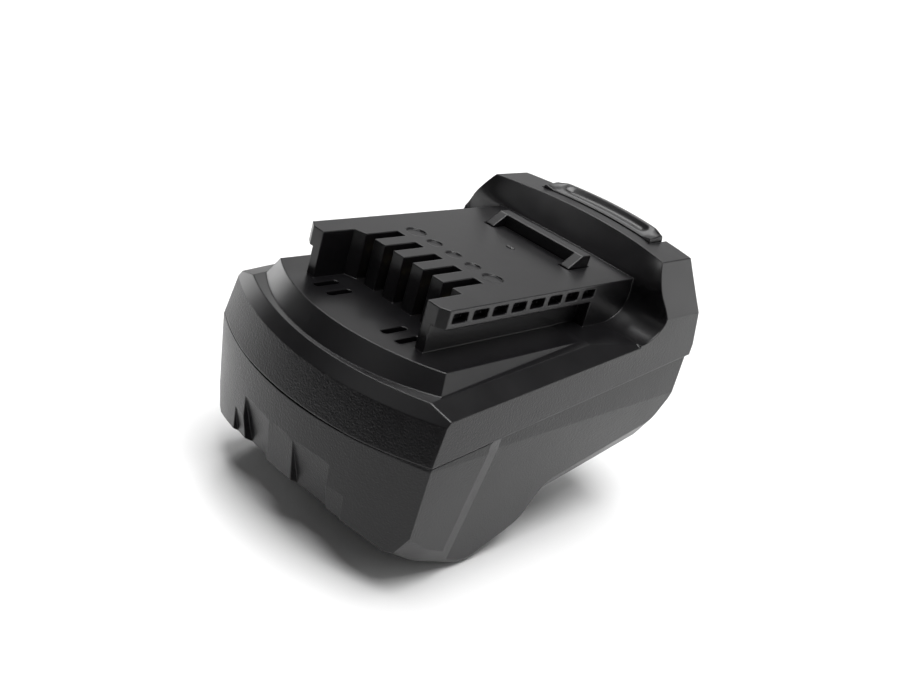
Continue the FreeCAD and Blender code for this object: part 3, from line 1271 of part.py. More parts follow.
# Boxed and round parts soldered to the board
switches = [S.switch_x + S.switch_pitch / 2.0 * sign for sign in (-1.0, 1.0)]
BOARD_PARTS = (
    ("protection_chip", [S.chip_x], S.chip_side, S.chip_side, S.chip_height),
    ("switching_transistors", switches, S.switch_width, S.switch_length, S.switch_height),
    ("current_shunt", [S.shunt_x], S.shunt_width, S.shunt_length, S.shunt_height),
)
for name, places, width, length, height in BOARD_PARTS:
    body = new_body(name)
    body.AllowCompound = True
    sketch = new_sketch(body, name + "_outlines", "XY", board_top)
    for x in places:
        box_outline(sketch, x - width / 2.0, S.parts_y - length / 2.0, x + width / 2.0, S.parts_y + length / 2.0)
    extrude(body, "Pad", name + "_body", sketch, height)
    nodes[name] = tip(body)
body = new_body("filter_capacitors")
body.AllowCompound = True
sketch = new_sketch(body, "capacitor_circles", "XY", board_top)
for sign in (-1.0, 1.0):
    circle(sketch, S.capacitor_x + S.capacitor_pitch / 2.0 * sign, S.capacitor_y, S.capacitor_radius)
extrude(body, "Pad", "capacitors", sketch, S.capacitor_height)
nodes["filter_capacitors"] = tip(body)


# Thermistor bead in the valley between the upper cells, with its two leads
def valley_z(radius):
    """Height of a round piece that lies between the first two upper cells."""
    reach = S.cell_radius + radius + 0.1
    return S.upper_row_z + root(reach * reach - S.cell_pitch * S.cell_pitch / 4.0)


body = new_body("thermistor")
bead_y = S.first_cell_y + S.cell_pitch / 2.0
bead_z = valley_z(S.bead_radius)
sketch = new_sketch(body, "bead_circle", "YZ", -S.bead_length / 2.0)
circle(sketch, bead_y, bead_z, S.bead_radius)
extrude(body, "Pad", "bead", sketch, S.bead_length)
tip(body)
sketch = new_sketch(body, "lead_circles", "XY", bead_z)
for sign in (1.0, -1.0):
    circle(sketch, S.bead_length / 4.0 * sign, bead_y, S.lead_radius)
extrude(body, "Pad", "leads", sketch, board_bottom - bead_z)
nodes["thermistor"] = tip(body)
doc.recompute()

# Housing screws: four alike
screws = []
for name, x, y, head_z, roof in SCREWS:
    for sign in (1.0, -1.0):
        for part, radius, low, height in (
            ("head", S.head_radius, head_z - S.head_height, S.head_height),
            ("shank", S.screw_radius, head_z - 0.2, S.screw_length + 0.2),
        ):
            cylinder = doc.addObject("Part::Cylinder", "%s_screw_%s" % (name, part))
            bind(cylinder, "Radius", radius)
            bind(cylinder, "Height", height)
            bind(cylinder, "Placement.Base.x", x * sign)
            bind(cylinder, "Placement.Base.y", y)
            bind(cylinder, "Placement.Base.z", low)
            screws.append(cylinder)
fused = doc.addObject("Part::MultiFuse", "housing_screws")
fused.Shapes = screws
nodes["housing_screws"] = fused


def arc_between(start, tangent, end):
    """The arc that leaves start along the tangent and reaches end."""
    chord = end - start
    along = Vector(chord).normalize()
    side = tangent - along * tangent.dot(along)
    rise = chord.Length / 2.0 * math.tan(math.atan2(side.Length, tangent.dot(along)) / 2.0)
    return Part.Arc(start, (start + end) * 0.5 + side.normalize() * rise, end)


def helix_point(radius, pitch, turn):
    angle = 2.0 * math.pi * turn
    point = Vector(radius * math.cos(angle), radius * math.sin(angle), pitch * turn)
    tangent = Vector(-radius * math.sin(angle), radius * math.cos(angle), pitch / (2.0 * math.pi))
    return point, tangent.normalize()


def least_gap(radius, pitch, turns, wire):
    """Least gap between neighbouring turns, measured on points along the helix."""
    steps = 24
    points = [helix_point(radius, pitch, k / steps)[0] for k in range(int(turns * steps) + 1)]
    gaps = []
    for i, a in enumerate(points):
        for b in points[i + steps // 2:]:
            gaps.append((a - b).Length - wire)
    return min(gaps)


WIRE_SIDES = 6


def coil_spring(radius, wire, length, turns):
    """One unbroken tube along quarter-turn biarcs of a helix, standing on z = 0."""
    pitch = (length - wire) / turns
    arcs = []
    for quarter in range(int(round(turns * 4))):
        (p0, t0), (p1, t1) = [helix_point(radius, pitch, (quarter + k) / 4.0) for k in (0, 1)]
        chord = p1 - p0
        both = t0 + t1
        bend = 2.0 * (1.0 - t0.dot(t1))
        reach = (math.sqrt(chord.dot(both) ** 2 + bend * chord.dot(chord)) - chord.dot(both)) / bend
        middle = (p0 + p1 + (t0 - t1) * reach) * 0.5
        arcs.append(arc_between(p0, t0, middle).toShape())
        arcs.append(arc_between(middle, (middle - p0 - t0 * reach), p1).toShape())
    pipe = Part.BRepOffsetAPI.MakePipeShell(Part.Wire(arcs))
    start, tangent = helix_point(radius, pitch, 0.0)
    outward = Vector(1, 0, 0)
    upward = tangent.cross(outward)
    corners = []
    for step in range(WIRE_SIDES + 1):
        angle = 2.0 * math.pi * step / WIRE_SIDES
        corners.append(start + outward * (math.cos(angle) * wire / 2.0) + upward * (math.sin(angle) * wire / 2.0))
    pipe.add(Part.makePolygon(corners))
    pipe.build()
    pipe.makeSolid()
    print("spring: least gap between turns %.2f mm" % least_gap(radius, pitch, turns, wire))
    return pipe.shape()


coil = coil_spring(S.spring_radius.value, S.spring_wire.value, S.spring_length.value, S.spring_turns.value)
for side, sign in (("right", 1.0), ("left", -1.0)):
    spring = doc.addObject("Part::Feature", side + "_latch_spring")
    spring.Shape = coil.translated(Vector(
        (S.spring_x * sign).value, S.spring_y.value, (spring_foot + S.spring_wire / 2.0).value))
    nodes[side + "_latch_spring"] = spring

nodes["upper_housing"] = upper
nodes["lower_housing"] = lower
nodes["latch_hook"] = latch
nodes["release_button"] = button
doc.recompute()
for name, item in nodes.items():
    item.Label = name

# Stand the pack upright: origin under the middle of the outer box
lowest = lower.Shape.optimalBoundingBox(True).ZMin
front_end = (S.waist_front_y - S.front_bow).value
rear_end = (S.belt_rear_y + S.rear_bow).value
shift = Placement(Vector(0, -(front_end + rear_end) / 2.0, -lowest), Rotation())
for item in nodes.values():
    item.Placement = shift * item.Placement
doc.recompute()

for item in doc.Objects:
    if "Invalid" in item.State or "Error" in item.State:
        raise RuntimeError("%s did not build" % item.Label)
os.makedirs("parts", exist_ok=True)
for name, item in nodes.items():
    if item.Shape.isNull() or not item.Shape.isValid():
        raise RuntimeError("%s has no sound shape" % name)
    item.Shape.exportStep("parts/%s.step" % name)
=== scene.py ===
import math

import bpy
import numpy as np
from bpy.props import FloatProperty, FloatVectorProperty, PointerProperty
from mathutils import Matrix, Vector


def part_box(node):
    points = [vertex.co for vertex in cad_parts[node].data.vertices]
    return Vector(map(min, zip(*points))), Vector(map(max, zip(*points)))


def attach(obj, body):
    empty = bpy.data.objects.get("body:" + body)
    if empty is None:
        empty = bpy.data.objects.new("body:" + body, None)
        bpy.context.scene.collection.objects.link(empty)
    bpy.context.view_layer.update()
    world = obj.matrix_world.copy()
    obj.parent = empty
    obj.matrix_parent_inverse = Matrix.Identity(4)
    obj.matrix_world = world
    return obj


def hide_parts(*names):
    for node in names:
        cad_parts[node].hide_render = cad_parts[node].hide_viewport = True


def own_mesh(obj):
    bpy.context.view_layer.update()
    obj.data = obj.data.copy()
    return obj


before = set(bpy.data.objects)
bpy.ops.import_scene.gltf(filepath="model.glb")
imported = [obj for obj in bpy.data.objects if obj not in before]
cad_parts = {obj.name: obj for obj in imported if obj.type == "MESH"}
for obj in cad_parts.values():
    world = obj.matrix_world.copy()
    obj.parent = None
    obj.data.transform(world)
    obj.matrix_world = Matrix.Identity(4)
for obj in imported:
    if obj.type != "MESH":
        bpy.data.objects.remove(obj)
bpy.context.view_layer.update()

bl_info = {
    "name": "Slide-on battery pack",
    "version": (1, 0, 0),
    "blender": (4, 5, 0),
    "location": "View3D > Sidebar > Battery",
    "description": "Finishes and small pieces for a slide-on power tool battery",
    "category": "Add Mesh",
}

# Metres in a millimetre. Sizes written in this script are millimetres, and those read from model.glb are metres
MM = 0.001
# The cells, and the way along x that each one's cap points
CELLS = (("front_upper_cell", 1.0), ("front_lower_cell", -1.0), ("rear_lower_cell", 1.0),
         ("middle_upper_cell", -1.0), ("rear_upper_cell", 1.0))
# A cell's materials, by their place in its list
SLEEVE, STEEL, RING = 0, 1, 2
CELL_STEPS = 72
# Depth of the button's sill under its highest point
SILL_DEPTH = 2.7
# The housing screws: the head, the length beyond it, the steps round, and how the front pair sits to the rear pair
HEAD_RADIUS, HEAD_TALL, SCREW_LENGTH, SCREW_STEPS = 2.6, 2.2, 14.0, 72
FRONT_SCREWS_INWARD, FRONT_SCREWS_LOWER = 5.0, 12.0

# The room: the walls' glow, and soft panels as round patches of the sky. Each panel has its direction, the radii in
# degrees between which it fades, and its strength
ROOM_GLOW = 0.035
PANELS = (
    ((-0.51, 0.52, 0.68), 8.0, 14.0, 3.2),
    ((-0.54, 0.28, 0.78), 5.0, 10.0, 6.0),
    ((0.46, 0.85, 0.22), 6.0, 15.0, 1.1),
    ((-0.20, -0.78, 0.58), 8.0, 22.0, 0.45),
)
# The ceiling bank: its light, its width in radians and the way to it
CEILING_LIGHT, CEILING_WIDTH, CEILING_FROM = 3.7, 0.75, (0.12, -0.05, 0.98)
# Softboxes: place and target in metres, width in metres, and watts
SOFTBOXES = (
    ("right_softbox", (0.75, 0.30, 0.35), (0.02, 0.0, 0.03), 0.6, 1.2),
    ("left_softbox", (-0.7, -0.05, 0.10), (-0.02, -0.03, 0.03), 0.3, 0.8),
)
# Outline in metres of the dark sheet on the floor before the pack, seen only in reflections: painted shade in the
# front faces' shine
REFLECTION_SHADE_SHEET = ((-0.28, -0.18), (-1.4, -0.7), (-0.5, -2.5), (1.6, -2.0), (0.6, -0.10), (0.07, -0.14), (-0.03, -0.19))
SHADE_SHEET_ABOVE_FLOOR = 0.0004
FLOOR_HALF = 40.0
# The camera, solved from the photograph's straight edges: its place in metres, the way back from what it looks at,
# and the picture's right
CAMERA_PLACE = (0.1701, -0.2250, 0.17028)
CAMERA_BACK = (0.5526, -0.7216, 0.4170)
CAMERA_RIGHT = (0.6903, 0.6768, 0.2565)


# Colours and materials

def from_hex(code):
    """The linear colour of an sRGB hex value: c/12.92 below 0.04045, else ((c + 0.055)/1.055)^2.4."""
    parts = [int(code[i:i + 2], 16) / 255.0 for i in (1, 3, 5)]
    return tuple(c / 12.92 if c <= 0.04045 else ((c + 0.055) / 1.055) ** 2.4 for c in parts) + (1.0,)


def add_node(tree, kind, settings=None, **links):
    """Adds a shader node, sets its properties and inputs, and links sockets given as (node, output).

    An input is called by its name, with two underscores for a space, or as i0, i1 and so on by its place.
    """
    node = tree.nodes.new(kind)
    for name, value in (settings or {}).items():
        setattr(node, name, value)
    for name, value in links.items():
        key = name.replace("__", " ")
        socket = node.inputs[int(key[1:])] if key[0] == "i" and key[1:].isdigit() else node.inputs[key]
        if isinstance(value, tuple) and value and isinstance(value[0], bpy.types.Node):
            tree.links.new(value[0].outputs[value[1]], socket)
        else:
            socket.default_value = value
    return node


def new_material(name):
    """An empty node material with its output, and the tree to fill."""
    material = bpy.data.materials.new(name)
    material.use_nodes = True
    tree = material.node_tree
    tree.nodes.clear()
    return material, tree


def close_material(tree, shader):
    """Ends the tree with the shader as the surface."""
    output = tree.nodes.new("ShaderNodeOutputMaterial")
    tree.links.new(shader.outputs[0], output.inputs["Surface"])


def speckle(tree, size_mm, detail=3.0, roughness=0.6):
    """Noise whose blobs are size_mm across, on the piece's own coordinates."""
    place = add_node(tree, "ShaderNodeTexCoord")
    return add_node(tree, "ShaderNodeTexNoise", None, Vector=(place, "Object"), Scale=1.0 / (size_mm * MM),
                    Detail=detail, Roughness=roughness)


def ramp(tree, source, low, high, to_low=0.0, to_high=1.0):
    """Maps the source from low..high to to_low..to_high and holds it there outside."""
    node = add_node(tree, "ShaderNodeMapRange", None, Value=source)
    for socket, value in (("From Min", low), ("From Max", high), ("To Min", to_low), ("To Max", to_high)):
        node.inputs[socket].default_value = value
    return node


def grained_walls(tree, place, smooth_above):
    """1 on steep faces beyond the flanks or below smooth_above, and 0 on the level and inner faces above it."""
    flank, flank_end, blend = 36.5, 37.2, 0.8
    steep_below, level_above = 0.3, 0.45
    split = add_node(tree, "ShaderNodeSeparateXYZ", None, i0=(place, "Object"))
    normal = add_node(tree, "ShaderNodeNewGeometry")
    facing = add_node(tree, "ShaderNodeSeparateXYZ", None, i0=(normal, "True Normal"))
    steep = ramp(tree, (facing, "Z"), steep_below, level_above, 1.0, 0.0)
    outside = add_node(tree, "ShaderNodeMath", {"operation": "ABSOLUTE"}, i0=(split, "X"))
    wall = ramp(tree, (outside, 0), flank * MM, flank_end * MM)
    low = ramp(tree, (split, "Z"), smooth_above * MM, (smooth_above + blend) * MM, 1.0, 0.0)
    either = add_node(tree, "ShaderNodeMath", {"operation": "MAXIMUM"}, i0=(wall, 0), i1=(low, 0))
    return add_node(tree, "ShaderNodeMath", {"operation": "MULTIPLY"}, i0=(either, 0), i1=(steep, 0))


def moulded_abs(name, colour, grain_mm, grain_depth_mm, rough, shine, edge_mm, smooth_above=None):
    """Injection-moulded black ABS.

    Walls take a pebbled grain from the spark-eroded tool, which breaks their shine into fine specks. Surfaces
    that face up above smooth_above are satin, as the tool was polished there, and show long soft highlights. Slow
    clouds vary the tone and the roughness a little, so that no face looks evenly painted.
    """
    cloud_mm, cloud_low, cloud_high, tone_swing, rough_swing = 9.0, 0.3, 0.7, 0.1, 0.07
    pebble_mm, pebble_share = grain_mm * 1.25, 0.7
    satin_shine, rougher_grain = 0.5, 0.02
    material, tree = new_material(name)
    place = add_node(tree, "ShaderNodeTexCoord")
    cloud = speckle(tree, cloud_mm, 2.0)
    fine = speckle(tree, grain_mm, 2.0, 0.5)
    pebbles = add_node(tree, "ShaderNodeTexVoronoi", {"feature": "SMOOTH_F1"}, Vector=(place, "Object"),
                       Scale=1.0 / (pebble_mm * MM))
    height = add_node(tree, "ShaderNodeMath", {"operation": "MULTIPLY_ADD"}, i0=(pebbles, "Distance"),
                      i1=pebble_share, i2=(fine, "Fac"))
    tone = ramp(tree, (cloud, "Fac"), cloud_low, cloud_high, 1.0 - tone_swing, 1.0 + tone_swing)
    base = add_node(tree, "ShaderNodeVectorMath", {"operation": "SCALE"}, i0=tuple(colour), Scale=(tone, 0))
    level = ramp(tree, (cloud, "Fac"), cloud_low, cloud_high, rough * (1.0 - rough_swing),
                 rough * (1.0 + rough_swing))
    gloss = shine
    if smooth_above is not None:
        mask = grained_walls(tree, place, smooth_above)
        height = add_node(tree, "ShaderNodeMath", {"operation": "MULTIPLY"}, i0=(height, 0), i1=(mask, 0))
        change = ramp(tree, (mask, 0), 0.0, 1.0, 0.0, rougher_grain)
        level = add_node(tree, "ShaderNodeMath", {"operation": "ADD"}, i0=(level, 0), i1=(change, 0))
        gloss = (ramp(tree, (mask, 0), 0.0, 1.0, satin_shine, shine), 0)
    soft_edge = add_node(tree, "ShaderNodeBevel", {"samples": 8}, Radius=edge_mm * MM)
    bump = add_node(tree, "ShaderNodeBump", None, Strength=1.0, Distance=grain_depth_mm * MM, Height=(height, 0),
                    Normal=(soft_edge, 0))
    shader = add_node(tree, "ShaderNodeBsdfPrincipled", None, IOR=1.53, Normal=(bump, 0), Roughness=(level, 0),
                      **{"Base__Color": (base, 0), "Specular__IOR__Level": gloss})
    close_material(tree, shader)
    return material


def metal(name, base, rough, streak_mm=0.6):
    """Rolled or plated sheet metal: faint streaks along y from rolling, which draw its reflections out."""
    streak_squeeze, smoothest, roughest = 0.08, 0.8, 1.3
    material, tree = new_material(name)
    place = add_node(tree, "ShaderNodeTexCoord")
    stretch = add_node(tree, "ShaderNodeMapping", None, Vector=(place, "Object"), Scale=(1.0, streak_squeeze, 1.0))
    streaks = add_node(tree, "ShaderNodeTexNoise", None, Vector=(stretch, 0), Scale=1.0 / (streak_mm * MM), Detail=3.0)
    level = ramp(tree, (streaks, "Fac"), 0.0, 1.0, rough * smoothest, rough * roughest)
    bump = add_node(tree, "ShaderNodeBump", None, Strength=0.25, Distance=0.02 * MM, Height=(streaks, "Fac"))
    shader = add_node(tree, "ShaderNodeBsdfPrincipled", None, Metallic=1.0, Roughness=(level, 0), Normal=(bump, 0),
                      **{"Base__Color": from_hex(base)})
    close_material(tree, shader)
    return material


def plain(name, base, rough, grain_mm=0.4, depth_mm=0.02, other=None):
    """A moulded, pressed or coated piece: slow patches drift between two tones, over a fine dull grain."""
    patch_mm, rough_swing = 4.0, 0.15
    material, tree = new_material(name)
    patches = speckle(tree, patch_mm, 2.0)
    fine = speckle(tree, grain_mm, 3.0)
    mix = add_node(tree, "ShaderNodeMix", {"data_type": "RGBA"}, Factor=(patches, "Fac"))
    # The mix node's sockets 6 and 7 are its two colours, and its output 2 is the mixed one
    mix.inputs[6].default_value = from_hex(base)
    mix.inputs[7].default_value = from_hex(other or base)
    level = ramp(tree, (patches, "Fac"), 0.0, 1.0, rough * (1.0 - rough_swing), min(1.0, rough * (1.0 + rough_swing)))
    bump = add_node(tree, "ShaderNodeBump", None, Strength=0.6, Distance=depth_mm * MM, Height=(fine, "Fac"))
    shader = add_node(tree, "ShaderNodeBsdfPrincipled", None, Roughness=(level, 0), Normal=(bump, 0),
                      **{"Base__Color": (mix, 2)})
    close_material(tree, shader)
    return material


def clothe(node, material):
    """Gives a CAD node's object the material."""
    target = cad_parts[node]
    target.data.materials.clear()
    target.data.materials.append(material)


# Surfaces

def smooth_step(t):
    """3 t^2 - 2 t^3, with t held between 0 and 1."""
    t = np.clip(t, 0.0, 1.0)
    return t * t * (3.0 - 2.0 * t)


def round_turn(steps):
    """Angles that go once round in equal steps."""
    return np.linspace(0.0, 2.0 * np.pi, steps, endpoint=False)


def dense_ends(count):
    """Values from 0 to 1 that lie close together at both ends: (1 - cos t) / 2."""
    return 0.5 - 0.5 * np.cos(np.linspace(0.0, np.pi, count))


def grid_faces(rows, columns, first=0):
    """Quads of a grid of points that closes on itself along its columns."""
    row, column = np.meshgrid(np.arange(rows - 1), np.arange(columns), indexing="ij")
    after = (column + 1) % columns
    quads = np.stack([row * columns + column, row * columns + after, (row + 1) * columns + after,
                      (row + 1) * columns + column], axis=-1)
    return quads.reshape(-1, 4) + first


def lathe(profile, steps, origin, axis):
    """Surface of revolution about a line along axis through origin.

    Each pair (h, r) of the profile becomes a ring: origin + h * axis + r * (cos t * u + sin t * v), with u and v
    square to the axis and t going once round. The first and last ring are closed by flat faces.
    """
    profile = np.asarray(profile, float) * MM
    axis = np.asarray(axis, float)
    u = np.cross(axis, (0.0, 1.0, 0.0) if abs(axis[1]) < 0.9 else (1.0, 0.0, 0.0))
    v = np.cross(axis, u)
    turn = round_turn(steps)
    ring = np.cos(turn)[:, None] * u + np.sin(turn)[:, None] * v
    points = np.asarray(origin) + profile[:, :1, None] * axis + profile[:, 1:, None] * ring
    return points.reshape(-1, 3), len(profile), steps


def tube(path, radius, steps):
    """Round tube along an open path: each point carries a ring square to the path's direction there.

    The ring's first arm is the path's outward direction less its part along the path, so that it never twists
    on a coil or a plane curve.
    """
    along = np.gradient(path, axis=0)
    along /= np.linalg.norm(along, axis=1)[:, None]
    arm = path - path.mean(axis=0) + (1e-6, 0.0, 0.0)
    arm -= (arm * along).sum(axis=1)[:, None] * along
    arm /= np.linalg.norm(arm, axis=1)[:, None]
    other = np.cross(along, arm)
    turn = round_turn(steps)
    rings = np.cos(turn)[None, :, None] * arm[:, None] + np.sin(turn)[None, :, None] * other[:, None]
    return (path[:, None] + rings * radius).reshape(-1, 3), len(path), steps


def join_grids(grids):
    """Stacks closed grids (points, rows, columns) into one array of points and one list of faces."""
    points, faces, first = [], [], 0
    for array, rows, columns in grids:
        points.append(array)
        faces += grid_faces(rows, columns, first).tolist()
        faces.append(list(range(first + columns - 1, first - 1, -1)))
        faces.append(list(range(first + (rows - 1) * columns, first + rows * columns)))
        first += len(array)
    return np.concatenate(points), faces


def place_in_scene(name, data):
    """A new object with the data, in the scene."""
    thing = bpy.data.objects.new(name, data)
    bpy.context.scene.collection.objects.link(thing)
    return thing


def make_piece(name, points, faces, materials, body, picks=None, sharp=0.7):
    """A finished object from whole arrays.

    picks gives each face's place in the list of materials. Edges that turn by more than sharp radians stay sharp.
    """
    mesh = bpy.data.meshes.new(name)
    mesh.from_pydata(points.tolist(), [], faces)
    mesh.polygons.foreach_set("use_smooth", np.ones(len(faces), bool))
    for material in materials:
        mesh.materials.append(material)
    if picks is not None:
        mesh.polygons.foreach_set("material_index", np.asarray(picks, np.int32))
    mesh.update()
    mesh.set_sharp_from_angle(angle=sharp)
    piece = place_in_scene(name, mesh)
    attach(piece, body)
    return piece


def middle_and_size(node):
    """The middle and the size of a node's box, in metres."""
    low, high = (np.array(corner, float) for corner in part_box(node))
    return (low + high) / 2.0, high - low


# Forms of the pieces

def gate_stub():
    """The stub left on the deck where the gate was cut: an oval bead of height 0.4 sqrt(1 - out^4).

    Its outline is an ellipse that swells by 0.1 cos 3t + 0.05 sin 5t, as a gate tears off unevenly, and its edge
    lies below the deck.
    """
    steps, rings = 40, 12
    half_wide, half_long, height, sunk = 1.5, 0.95, 0.4, 0.05
    before_hook, deck_under_button_top = 5.0, 9.9
    turn = round_turn(steps)
    out = np.linspace(1.0, 0.03, rings)
    wide = np.outer(out, 1.0 + 0.1 * np.cos(3.0 * turn) + 0.05 * np.sin(5.0 * turn))
    tall = np.repeat(height * np.sqrt(1.0 - out ** 4) - sunk, steps).reshape(rings, steps)
    points = np.stack([half_wide * wide * np.cos(turn), half_long * wide * np.sin(turn), tall], axis=-1)
    hook_front, button_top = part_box("latch_hook")[0][1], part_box("release_button")[1][2]
    middle = (0.0, hook_front - before_hook * MM, button_top - deck_under_button_top * MM)
    return join_grids([(points.reshape(-1, 3) * MM + middle, rings, steps)])


def button_walls(sill):
    """The button node's own walls in millimetres, with every point above the sill lowered to it."""
    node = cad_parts["release_button"]
    walls = np.array([node.matrix_world @ vertex.co for vertex in node.data.vertices]) / MM
    walls[:, 2] = np.minimum(walls[:, 2], sill)
    walls, place = np.unique(np.round(walls, 4), axis=0, return_inverse=True)
    place = place.reshape(-1)
    faces = [[int(place[i]) for i in face.vertices] for face in node.data.polygons]
    return walls, [face for face in faces if len(set(face)) == len(face)]


def button_pad(low, high, sill):
    """The dished pad over the button's walls, in millimetres, on a plan of x and s.

    s goes from the front arc to the rear arc. The top climbs from 0.35 mm by 1.95 w^2 (1.7 - 0.7 w), where w is the
    way along s, to 2.3 mm towards the rear. Over the last 4 mm at both ends of the button it draws in towards
    1.2 mm, to a quarter of its distance from there, and along the middle it carries a dish. At the rim it falls
    below the sill's level as sqrt(1 - (1 - d / e)^2), where d is the distance from the rim and e the radius of the
    edge.
    """
    columns, rows = 220, 60
    margin, front_radius, rear_radius = 0.03, 68.17, 57.36
    front_top, climb, climb_end = 0.35, 1.95, 0.8
    end_top, end_share, end_length = 1.2, 0.25, 4.0
    dish_depth, dish_half, dish_round, dish_place, dish_reach = 0.5, 13.0, 2.6, 0.53, 0.3
    edge_radius, under_sill = 0.45, 0.2
    half = high[0] - margin
    x = half * (2.0 * dense_ends(columns) - 1.0)[:, None]
    s = dense_ends(rows)[None, :]
    y_front = low[1] + margin + np.sqrt(front_radius ** 2 - x ** 2) - np.sqrt(front_radius ** 2 - half ** 2)
    y_rear = high[1] - margin + np.sqrt(rear_radius ** 2 - x ** 2) - rear_radius
    y = y_front + (y_rear - y_front) * s
    way = np.clip(s / climb_end, 0.0, 1.0)
    top = front_top + climb * way * way * (1.7 - 0.7 * way)
    inward = smooth_step((half - np.abs(x)) / end_length)
    top = end_top + (top - end_top) * (end_share + (1.0 - end_share) * inward)
    out = np.hypot(np.maximum(0.0, np.abs(x) - dish_half) / dish_round, (s - dish_place) / dish_reach)
    top = top - dish_depth * smooth_step(1.0 - out)
    rim = np.minimum(np.minimum(half - np.abs(x), y - y_front), y_rear - y)
    fall = np.clip(rim / edge_radius, 0.0, 1.0)
    z = sill + (top + under_sill) * np.sqrt(1.0 - (1.0 - fall) ** 2)
    points = np.stack([x + 0.0 * s, y, z], axis=-1).reshape(-1, 3)
    column, row = np.meshgrid(np.arange(columns - 1), np.arange(rows - 1), indexing="ij")
    first = column * rows + row
    return points, np.stack([first, first + rows, first + rows + 1, first + 1], axis=-1).reshape(-1, 4)


def spring_coil(middle, size, turns):
    """A spring of round wire that fills its node's box.

    Its height eases out of a closed end turn into the open coils and back, as share - 0.9 sin(2 pi share) / (2 pi).
    """
    wire, steps_per_turn, closing, ring_steps = 0.4 * MM, 40, 0.9, 14
    coil = min(size[0], size[1]) / 2.0 - wire
    share = np.linspace(0.0, 1.0, int(turns * steps_per_turn))
    angle = 2.0 * np.pi * turns * share
    rise = share - closing * np.sin(2.0 * np.pi * share) / (2.0 * np.pi)
    height = (size[2] - 2.0 * wire) * rise
    path = np.stack([coil * np.cos(angle), coil * np.sin(angle), height], axis=-1)
    path += (middle[0], middle[1], middle[2] - size[2] / 2.0 + wire)
    return join_grids([tube(path, wire, ring_steps)])


def cell_profile(long, radius):
    """A cell's half section from its base to its cap, as (height, radius), and the material of each band between.

    The rims are quarter rounds. The crimp under the cap is a dip of (1 + cos) / 2, seen through the tight sleeve.
    """
    rim, cap_tall, crimp_below, crimp_half, crimp_depth = 0.6, 0.9, 3.4, 0.8, 0.44
    top = long - cap_tall
    bend = np.linspace(0.0, np.pi / 2.0, 7)
    dip = np.linspace(-1.0, 1.0, 13)
    profile = [(0.12, 0.6), (0.12, 6.6), (0.0, 6.7), (0.0, 7.6)]
    profile += [(rim - rim * np.cos(a), radius - rim + rim * np.sin(a)) for a in bend]
    profile += [(top - crimp_below + crimp_half * d, radius - crimp_depth / 2.0 * (1.0 + np.cos(np.pi * d)))
                for d in dip]
    profile += [(top - rim + rim * np.sin(a), radius - rim + rim * np.cos(a)) for a in bend]
    profile += [(top, 7.4), (top - 0.1, 7.2), (top - 0.12, 3.2)]
    profile += [(top - 0.1, 3.0), (long - 0.25, 2.95), (long - 0.07, 2.85), (long, 2.65), (long, 0.6)]
    base_bands, ring_bands, cap_bands = [STEEL] * 2, [RING] * 2, [STEEL] * 5
    sleeve_bands = [SLEEVE] * (len(profile) - 1 - len(base_bands + ring_bands + cap_bands))
    return profile, base_bands + sleeve_bands + ring_bands + cap_bands


def threaded_screw(x, y, seat):
    """One thread-forming screw, head down, as a closed grid. seat is the height of the head's upper side.

    The head is a shallow dome with a socket inside a radius of 1.2 + 0.2 cos 6t. The thread swells the core by a
    triangle wave that climbs by the pitch each turn, and the tip tapers off.
    """
    socket_radius, lobe, lobes, socket_deep, socket_wall, dome_rise = 1.2, 0.2, 6.0, 1.1, 0.08, 0.5
    pitch, core, thread_tall, thread_slope, run_in = 1.1, 1.12, 0.36, 3.2, 1.5
    tip_start, tip_long, tip_share, tip_rows = 1.6, 1.55, 0.12, 6
    turn = round_turn(SCREW_STEPS)
    out = np.concatenate([np.linspace(0.06, 1.6, 26), np.linspace(1.7, HEAD_RADIUS, 10)])
    socket = socket_radius + lobe * np.cos(lobes * turn)
    inside = np.clip((socket[None, :] - out[:, None]) / socket_wall + 0.5, 0.0, 1.0)
    dome = seat - HEAD_TALL + dome_rise * (out / HEAD_RADIUS) ** 4
    height = dome[:, None] + socket_deep * inside
    head = np.stack([x + np.outer(out, np.cos(turn)), y + np.outer(out, np.sin(turn)), height], axis=-1)
    rim = np.stack([x + HEAD_RADIUS * np.cos(turn), y + HEAD_RADIUS * np.sin(turn),
                    np.full(SCREW_STEPS, seat)], axis=-1)[None]
    up = np.linspace(0.0, SCREW_LENGTH - tip_start, 110)
    phase = (up[:, None] / pitch - turn[None, :] / (2.0 * np.pi)) % 1.0
    grow = np.clip(up / run_in, 0.0, 1.0)[:, None]
    wide = core + thread_tall * np.clip(1.0 - np.abs(phase - 0.5) * thread_slope, 0.0, 1.0) * grow
    shank = np.stack([x + wide * np.cos(turn), y + wide * np.sin(turn),
                      np.repeat(seat + up, SCREW_STEPS).reshape(wide.shape)], axis=-1)
    tip = np.linspace(1.0, tip_share, tip_rows)[1:, None, None] * (shank[-1] - (x, y, 0.0)) * (1.0, 1.0, 0.0)
    tip += np.array((x, y, 0.0)) + np.linspace(0.0, tip_long, tip_rows)[1:, None, None] * (0.0, 0.0, 1.0)
    tip[..., 2] += shank[-1, 0, 2]
    surface = np.concatenate([head, rim, shank, tip])
    return surface.reshape(-1, 3) * MM, len(surface), SCREW_STEPS


# Studio

def lay_floor(colour):
    """A pale matt floor that runs out of sight on all sides."""
    mesh = bpy.data.meshes.new("studio_floor")
    corners = [(x * FLOOR_HALF, y * FLOOR_HALF, 0.0) for x, y in ((-1, -1), (1, -1), (1, 1), (-1, 1))]
    mesh.from_pydata(corners, [], [(0, 1, 2, 3)])
    floor = place_in_scene("studio_floor", mesh)
    material, tree = new_material("matt paper sweep")
    close_material(tree, add_node(tree, "ShaderNodeBsdfPrincipled", None, Roughness=0.9, **{"Base__Color": colour}))
    mesh.materials.append(material)


